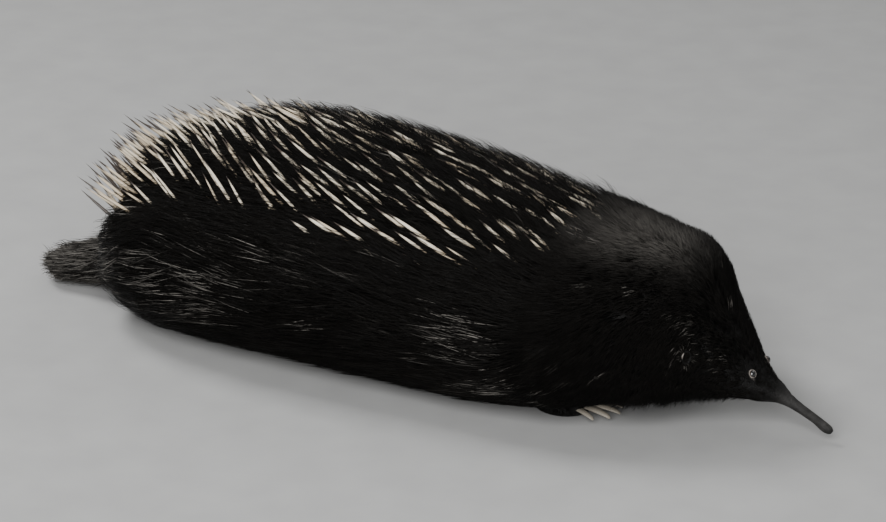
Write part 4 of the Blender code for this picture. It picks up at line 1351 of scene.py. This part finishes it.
class ECHIDNA_OT_build_skin(bpy.types.Operator):
    """Grow one skin for the trunk, tail, legs, ears and beak"""

    bl_idname = "echidna.build_skin"
    bl_label = "Build Skin"

    def execute(self, context):
        sizes = context.scene.echidna_sizes
        skin = grow_tube("skin", trunk_rings(sizes.skin_sides, sizes.skin_step))
        parts = [grow_tube("tail", tail_rings())]
        for side, _ in SIDES:
            parts.append(build_ear(side))
            parts.append(build_lids(side))
            for _, paw, claws in PAWS:
                parts.append(grow_tube("leg", leg_rings(paw, side)))
                parts += [build_toe(paw, side, claw) for claw in claws]
        join_into(skin, parts)
        join_into(skin, beak_cuts(), "DIFFERENCE")
        mark_zones(skin)
        skin.data.shade_smooth()
        flesh = ["beak", "head", "neck", "torso", "tail"]
        for _, word in SIDES:
            flesh += ["ear_" + word, "foreleg_" + word, "hindleg_" + word]
        add_finished(skin, "skin", skin_finish(context.scene.echidna_colours), flesh)
        return {"FINISHED"}


# The coat

def tuft_patterns():
    """The long and the short tuft: closed three-sided locks that swell and end in a point."""
    long_tuft = model_spindle("long_tuft", 3, ((0.0, 0.55), (0.36, 0.60), (0.72, 0.42)))
    short_tuft = model_spindle("short_tuft", 3, ((0.0, 0.62), (0.50, 0.55)))
    return {"long": Pattern(long_tuft), "short": Pattern(short_tuft)}


def clear_of_eyes(x, rise, side):
    """Which clumps stand clear of the eyes and of the ears' cups."""
    point = trunk_point(x, turn_of(rise, side))
    clear = np.ones(len(x), dtype=bool)
    for middle, reach in openings(EYE_CLEAR, EAR_CLEAR):
        clear &= np.linalg.norm(point - middle, axis=1) > reach
    return clear


class ECHIDNA_OT_comb_coat(bpy.types.Operator):
    """Comb the hair of the trunk, neck, head, tail and legs as solid tufts"""

    bl_idname = "echidna.comb_coat"
    bl_label = "Comb Coat"

    def execute(self, context):
        sizes = context.scene.echidna_sizes
        colours = context.scene.echidna_colours
        draw = np.random.default_rng(sizes.seed)
        patterns = tuft_patterns()
        finishes = {
            "long": hair_finish("long_hair", colours, 0.45, 0.08),
            "short": hair_finish("plush_hair", colours, 0.60, 0.08),
        }
        for name, look, kind, x_range, rise_range, clumps, members in STRETCHES:
            look = dict(look, width=look["width"] * sizes.hair_width)
            x, rise, side = scatter(draw, int(clumps * sizes.coat_fullness), x_range, rise_range)
            keep = clear_of_eyes(x, rise, side)
            paths = coat_paths(draw, (x[keep], rise[keep], side[keep]), members, look)
            comb(name, patterns[kind], *paths, "fur", finishes[kind])
        comb("coat_tail", patterns["long"], *tail_paths(draw, sizes), "fur", finishes["long"])
        for word, paw, _ in PAWS:
            paths = leg_paths(draw, paw, sizes)
            comb(f"coat_{word}legs", patterns["short"], *paths, "fur", finishes["short"])
        comb("coat_ears", patterns["long"], *ear_paths(draw, sizes), "fur", finishes["short"])
        return {"FINISHED"}


def tail_paths(draw, sizes):
    """Hair of the tail, which lies back and frays at the tip."""
    look = TAIL_HAIR
    copies = int(look["count"] * sizes.coat_fullness)
    x = draw.uniform(TAIL_END + TAIL_SKIN, look["root"], copies)
    turn = draw.uniform(0.0, math.tau, copies)
    length = draw.uniform(*look["length"], copies)
    at_tip = step_between(*look["tip"], x)
    length *= 1 - look["tip_shorter"] * at_tip
    swing = draw.normal(0.0, look["swing"], copies)
    lift = draw.uniform(*look["lift"], copies) - look["tip_higher"] * at_tip * draw.random(copies)
    lift = lift * (0.35 + 1.5 * drift(x, np.degrees(turn), length=0.005, phase=0.3) ** 2)
    curl = draw.uniform(-look["curl"], look["curl"], copies)
    fray = draw.uniform(*look["fray"], copies)

    def places_at(share):
        here = x - length * share ** 1.1
        here = np.where(here < TAIL_END, TAIL_END + (here - TAIL_END) * fray, here)
        inset = TAIL_SKIN * (1 - math.sin(0.5 * math.pi * share ** 0.8)) + lift * share
        around = turn + swing * share + curl * math.sin(math.pi * share) * 0.3
        point = tail_point(here, around, inset)
        return point, surface_normal(tail_point, np.maximum(here, TAIL_END + 0.001), around)

    width = look["width"] * sizes.hair_width * draw.uniform(*TUFT_WIDTHS, copies)
    patches = patch_corners((x - TAIL_END) / (look["root"] - TAIL_END), turn / math.tau)
    lit = draw.random(copies) < look["pale"] + look["tip_paler"] * at_tip
    pale = np.where(lit, draw.uniform(0.1, 0.6, copies), 0.0)
    roll = draw.normal(0.0, 0.6, copies)
    return places_at, (width, 0.6 * width, roll), patches, (draw.random(copies), pale)


def leg_paths(draw, paw, sizes):
    """Short hair down both legs of a pair."""
    look = LEG_HAIR
    copies = int(look["count"] * sizes.coat_fullness)
    side = draw.choice((-1, 1), copies)
    height = draw.uniform(*look["heights"], copies)
    turn = draw.uniform(0.0, math.tau, copies)
    length = mix(*look["length"], step_between(*look["longer"], height))
    length = length * draw.uniform(0.8, 1.2, copies)
    out = draw.uniform(*look["lift"], copies)

    def at(height_here, turn_here, grow):
        both = [leg_point(paw, hand, height_here, turn_here, grow) for hand in (1, -1)]
        return np.where((side > 0)[:, None], both[0], both[1])

    def places_at(share):
        here = np.maximum(height - length * share * 0.85, 0.0008)
        grow = -look["sunk"] + out * math.sin(0.5 * math.pi * share)
        point = at(here, turn, grow)
        return point, unit(at(here, turn, grow + 0.001) - at(here, turn, grow - 0.001))

    width = look["width"] * sizes.hair_width * draw.uniform(*TUFT_WIDTHS, copies)
    patches = patch_corners(
        0.5 * turn / math.tau + 0.5 * (side > 0), height / look["heights"][1],
    )
    roll = draw.normal(0.0, ROLL_STRAY, copies)
    return places_at, (width, 0.6 * width, roll), patches, (draw.random(copies), np.zeros(copies))


def ear_paths(draw, sizes):
    """Pale hairs that fan out round each ear."""
    look = EAR_HAIR
    copies = int(look["count"] * sizes.coat_fullness)
    side = draw.choice((-1, 1), copies)
    around = draw.uniform(0.0, math.tau, copies)
    ring = draw.uniform(*look["ring"], copies)
    length = draw.uniform(*look["length"], copies)
    spots = {hand: trunk_spot(EAR_X, EAR_TURN, hand, float(skin_at(EAR_X))) for hand in (1, -1)}
    turns = {hand: np.array(facing(spots[hand][1])) for hand in (1, -1)}
    hands = (side > 0)[:, None]
    middle = np.where(hands, np.array(spots[1][0]), np.array(spots[-1][0]))

    def turned(vectors):
        return np.where(hands, vectors @ turns[1].T, vectors @ turns[-1].T)

    def places_at(share):
        out = ring + length * share
        rise = 0.0004 + look["lift"] * math.sin(0.5 * math.pi * share) - look["droop"] * share
        flat = stacked(out * np.cos(around), EAR_TALL * out * np.sin(around), rise)
        return middle + turned(flat), turned(stacked(np.zeros(copies), 0.0, 1.0))

    width = look["width"] * sizes.hair_width * draw.uniform(0.7, 1.2, copies)
    ear_share = PATCH_EDGE + 0.4 * ring / 0.0046 + 0.5 * (side > 0)
    patches = np.stack((PATCH_EDGE + PATCH_FIELD * around / math.tau, ear_share), axis=-1)
    pale = draw.uniform(0.0, 1.0, copies) ** 2 * 0.5
    roll = draw.normal(0.0, ROLL_STRAY, copies)
    return places_at, (width, 0.6 * width, roll), patches, (draw.random(copies), pale)


# Spines, eyes and claws

def spine_roots(draw):
    """Places, rises and turns of every spine, in tiers whose rows are set between each other."""
    first, last, count = SPINE_TIERS
    x, rise = [], []
    for tier in range(count):
        at = first + (last - first) * (tier / (count - 1)) ** SPINE_CROWDING
        low = float(spine_low_at(at))
        rows = max(SPINE_FEWEST_ROWS, round(SPINE_ROWS * (180.0 - 2 * low) / SPINE_SPAN))
        for row in range(rows):
            x.append(at + draw.uniform(-SPINE_JITTER, SPINE_JITTER))
            place = low + (180.0 - 2 * low) * (row + 0.5 * (tier % 2)) / (rows - 0.5)
            rise.append(place + draw.uniform(-SPINE_TURN_JITTER, SPINE_TURN_JITTER))
    return np.array(x), np.radians(np.array(rise))


def spine_paths(draw, sizes):
    """Every spine of the back, as a path function and the arrays that dress them."""
    x, turn = spine_roots(draw)
    count = len(x)
    outward = surface_normal(trunk_point, x, turn)
    lift = np.radians(spine_lift_at(x) * draw.uniform(*SPINE_SCATTER, count))
    climb = np.radians(spine_climb_at(x) * draw.uniform(0.85, 1.15, count))
    climb = climb * np.abs(np.cos(turn)) ** SPINE_CLIMB_EASE
    to_crest = unit(stacked(0.0, -np.copysign(outward[:, 2], outward[:, 1]), np.abs(outward[:, 1])))
    swing = draw.normal(0.0, SPINE_SWING, count)
    along = stacked(-np.cos(climb), swing, 0.0) + to_crest * np.sin(climb)[:, None]
    leaning = along * np.cos(lift)[:, None] + outward * np.sin(lift)[:, None]
    pointing = unit(leaning + stacked(0.0, 0.0, spine_upright_at(x)))
    skin = trunk_point(x, turn, skin_at(x))
    rising = np.maximum((pointing * outward).sum(axis=1), SPINE_LEAST_RISE)
    root = skin - pointing * (SPINE_SUNK / rising)[:, None]
    length = spine_length_at(x) * draw.uniform(*SPINE_SCATTER, count) + SPINE_SUNK
    bend = draw.uniform(*SPINE_SAG, count) * length

    def places_at(share):
        sag = (bend * share ** 2)[:, None] * outward
        return root + pointing * (length * share)[:, None] - sag, outward

    (thin_from, thin_to), thinnest = SPINES_THIN
    (worn_from, worn_to), most_worn = SPINES_WORN
    (dark_from, dark_to), darker = SPINES_DARK
    radius = sizes.spine_radius * draw.uniform(0.70, 1.10, count)
    radius = radius * mix(thinnest, 1.0, step_between(thin_from, thin_to, x))
    patches = patch_corners((x - RUMP_END) / (BEAK_END - RUMP_END), turn / math.tau % 1.0)
    worn = draw.random(count) ** 1.5 + most_worn * step_between(worn_from, worn_to, x)
    tip_start = draw.uniform(*SPINE_TIP_START, count)
    tip_start = tip_start - draw.uniform(*darker, count) * step_between(dark_from, dark_to, x)
    size = radius, radius, np.zeros(count)
    return places_at, size, patches, (np.minimum(worn, 1.0), tip_start)


class ECHIDNA_OT_set_spines(bpy.types.Operator):
    """Set the spines of the back in the skin"""

    bl_idname = "echidna.set_spines"
    bl_label = "Set Spines"

    def execute(self, context):
        sizes = context.scene.echidna_sizes
        draw = np.random.default_rng(sizes.seed + 1)
        pattern = Pattern(model_spindle("spine", 8, SPINE_CUTS))
        finish = spine_finish(context.scene.echidna_colours)
        comb("spines", pattern, *spine_paths(draw, sizes), "horn", finish)
        return {"FINISHED"}


class ECHIDNA_OT_set_eyes(bpy.types.Operator):
    """Set a wet dark eye behind each pair of lids"""

    bl_idname = "echidna.set_eyes"
    bl_label = "Set Eyes"

    def execute(self, context):
        finish = eye_finish(context.scene.echidna_colours)
        for side, word in SIDES:
            middle, radius, outward = eye_place(side)
            bpy.ops.mesh.primitive_uv_sphere_add(segments=40, ring_count=24, radius=radius)
            eye = added("eyeball_" + word)
            bpy.ops.object.mode_set(mode="EDIT")
            mesh = bmesh.from_edit_mesh(eye.data)
            for vert in mesh.verts:
                vert.select = vert.co.z > CORNEA_FROM * radius
            mesh.select_flush_mode()
            bmesh.update_edit_mesh(eye.data)
            bpy.ops.transform.translate(
                value=(0, 0, CORNEA_SWELL * radius), use_proportional_edit=True,
                proportional_edit_falloff="SMOOTH", proportional_size=CORNEA_REACH * radius,
            )
            bpy.ops.object.mode_set(mode="OBJECT")
            heights = points_of(eye.data)[:, 2] / radius
            paint(eye.data, "Tint", stacked(np.clip(heights * 0.5 + 0.5, 0, 1), 0.0, 0.0))
            eye.data.transform(Matrix.Translation(middle) @ facing(outward).to_4x4())
            eye.data.shade_smooth()
            add_finished(eye, "eye", finish, ["eye_" + word])
        return {"FINISHED"}


def claw_points(pattern, paw, side, claw):
    """The points of one claw: ridged, flatter below and bent down to the floor."""
    _, length, width, thickness = claw
    root, pointing, beside = (np.array(v) for v in claw_frame(paw, side, claw))
    share = pattern.along
    over = np.where(pattern.over < 0, pattern.over * CLAW_UNDERSIDE, pattern.over)
    ridge = 1 + RIDGE_HEIGHT * np.cos(np.arctan2(pattern.over, pattern.across) * CLAW_RIDGES)
    size = np.interp(share, *np.array(CLAW_CUTS).T)
    drop = (CLAW_HEIGHT - CLAW_FLOOR - 0.5 * thickness * size) * share ** 2
    middle = root + pointing * ((length + CLAW_SUNK) * share)[:, None]
    points = middle + beside * (0.5 * width * pattern.across * ridge)[:, None]
    points[:, 2] += 0.5 * thickness * over * ridge - np.maximum(drop, 0.0)
    return points


class ECHIDNA_OT_fit_claws(bpy.types.Operator):
    """Fit a grooved horn claw on every toe"""

    bl_idname = "echidna.fit_claws"
    bl_label = "Fit Claws"

    def execute(self, context):
        finish = claw_finish(context.scene.echidna_colours)
        draw = np.random.default_rng(context.scene.echidna_sizes.seed + 2)
        pattern = Pattern(model_spindle("claw", 16, CLAW_CUTS, tip_radius=CLAW_TIP))
        for side, word in SIDES:
            for leg, paw, claws in PAWS:
                for number, claw in enumerate(claws, 1):
                    points = claw_points(pattern, paw, side, claw)[None]
                    tint = stacked(pattern.along, draw.random(), 0.0)[None]
                    piece = copies_mesh(f"{leg}_horn_{word}_{number}", points, pattern.faces, tint)
                    add_finished(piece, "horn", finish, [f"{leg}_claw_{word}_{number}"])
        return {"FINISHED"}


# The stage

class ECHIDNA_OT_set_stage(bpy.types.Operator):
    """Lay the pale floor and set the soft lights and the camera"""

    bl_idname = "echidna.set_stage"
    bl_label = "Set Stage"

    def execute(self, context):
        bpy.ops.mesh.primitive_plane_add(size=12.0, location=(0, 0, 0))
        floor = settle(added("floor"))
        floor.data.materials.append(floor_finish())
        floor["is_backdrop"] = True
        turn = math.radians(VIEW_TURN)
        rise = math.radians(VIEW_RISE)
        flat = math.cos(rise)
        back = Vector((math.sin(turn) * flat, -math.cos(turn) * flat, math.sin(rise)))
        bpy.ops.object.camera_add(location=VIEW_TARGET + back * VIEW_DISTANCE)
        camera = context.object
        camera.rotation_euler = back.to_track_quat("Z", "Y").to_euler()
        camera.data.lens = VIEW_LENS
        camera.data.sensor_width = 36.0
        camera.data.clip_start = 0.01
        context.scene.camera = camera
        for name, place, size, power in LIGHTS:
            bpy.ops.object.light_add(type="AREA", location=place)
            light = context.object
            light.name = name
            light.data.shape = "SQUARE"
            light.data.size = size
            light.data.energy = power
            aim = Vector(place) - LIGHT_TARGET
            light.rotation_euler = aim.to_track_quat("Z", "Y").to_euler()
        world = bpy.data.worlds.new("studio")
        world.use_nodes = True
        sky = world.node_tree.nodes["Background"]
        sky.inputs["Color"].default_value = SKY_COLOUR
        sky.inputs["Strength"].default_value = SKY_STRENGTH
        context.scene.world = world
        return {"FINISHED"}


STEPS = (
    ECHIDNA_OT_build_skin,
    ECHIDNA_OT_comb_coat,
    ECHIDNA_OT_set_spines,
    ECHIDNA_OT_set_eyes,
    ECHIDNA_OT_fit_claws,
    ECHIDNA_OT_set_stage,
)


class ECHIDNA_PT_looks(bpy.types.Panel):
    """Sizes, colours and steps of the echidna's looks"""

    bl_idname = "ECHIDNA_PT_looks"
    bl_label = "Echidna"
    bl_space_type = "VIEW_3D"
    bl_region_type = "UI"
    bl_category = "Echidna"

    def draw(self, context):
        for group in (context.scene.echidna_sizes, context.scene.echidna_colours):
            box = self.layout.box()
            for name in group.bl_rna.properties.keys():
                if name not in ("rna_type", "name"):
                    box.prop(group, name)
        for step in STEPS:
            self.layout.operator(step.bl_idname)


CLASSES = (EchidnaSizes, EchidnaColours) + STEPS + (ECHIDNA_PT_looks,)


def register():
    for kind in CLASSES:
        bpy.utils.register_class(kind)
    bpy.types.Scene.echidna_sizes = bpy.props.PointerProperty(type=EchidnaSizes)
    bpy.types.Scene.echidna_colours = bpy.props.PointerProperty(type=EchidnaColours)


def unregister():
    del bpy.types.Scene.echidna_colours
    del bpy.types.Scene.echidna_sizes
    for kind in reversed(CLASSES):
        bpy.utils.unregister_class(kind)


def main():
    register()
    GROUPS["grain"] = build_grain_group()
    GROUPS["hair"] = build_hair_group()
    bpy.ops.echidna.build_skin()
    bpy.ops.echidna.comb_coat()
    bpy.ops.echidna.set_spines()
    bpy.ops.echidna.set_eyes()
    bpy.ops.echidna.fit_claws()
    bpy.ops.echidna.set_stage()
    boxes = {"cad": CAD_BOX, "visual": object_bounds()}
    boxes = {name: [list(map(float, corner)) for corner in box] for name, box in boxes.items()}


if __name__ == "__main__":
    main()
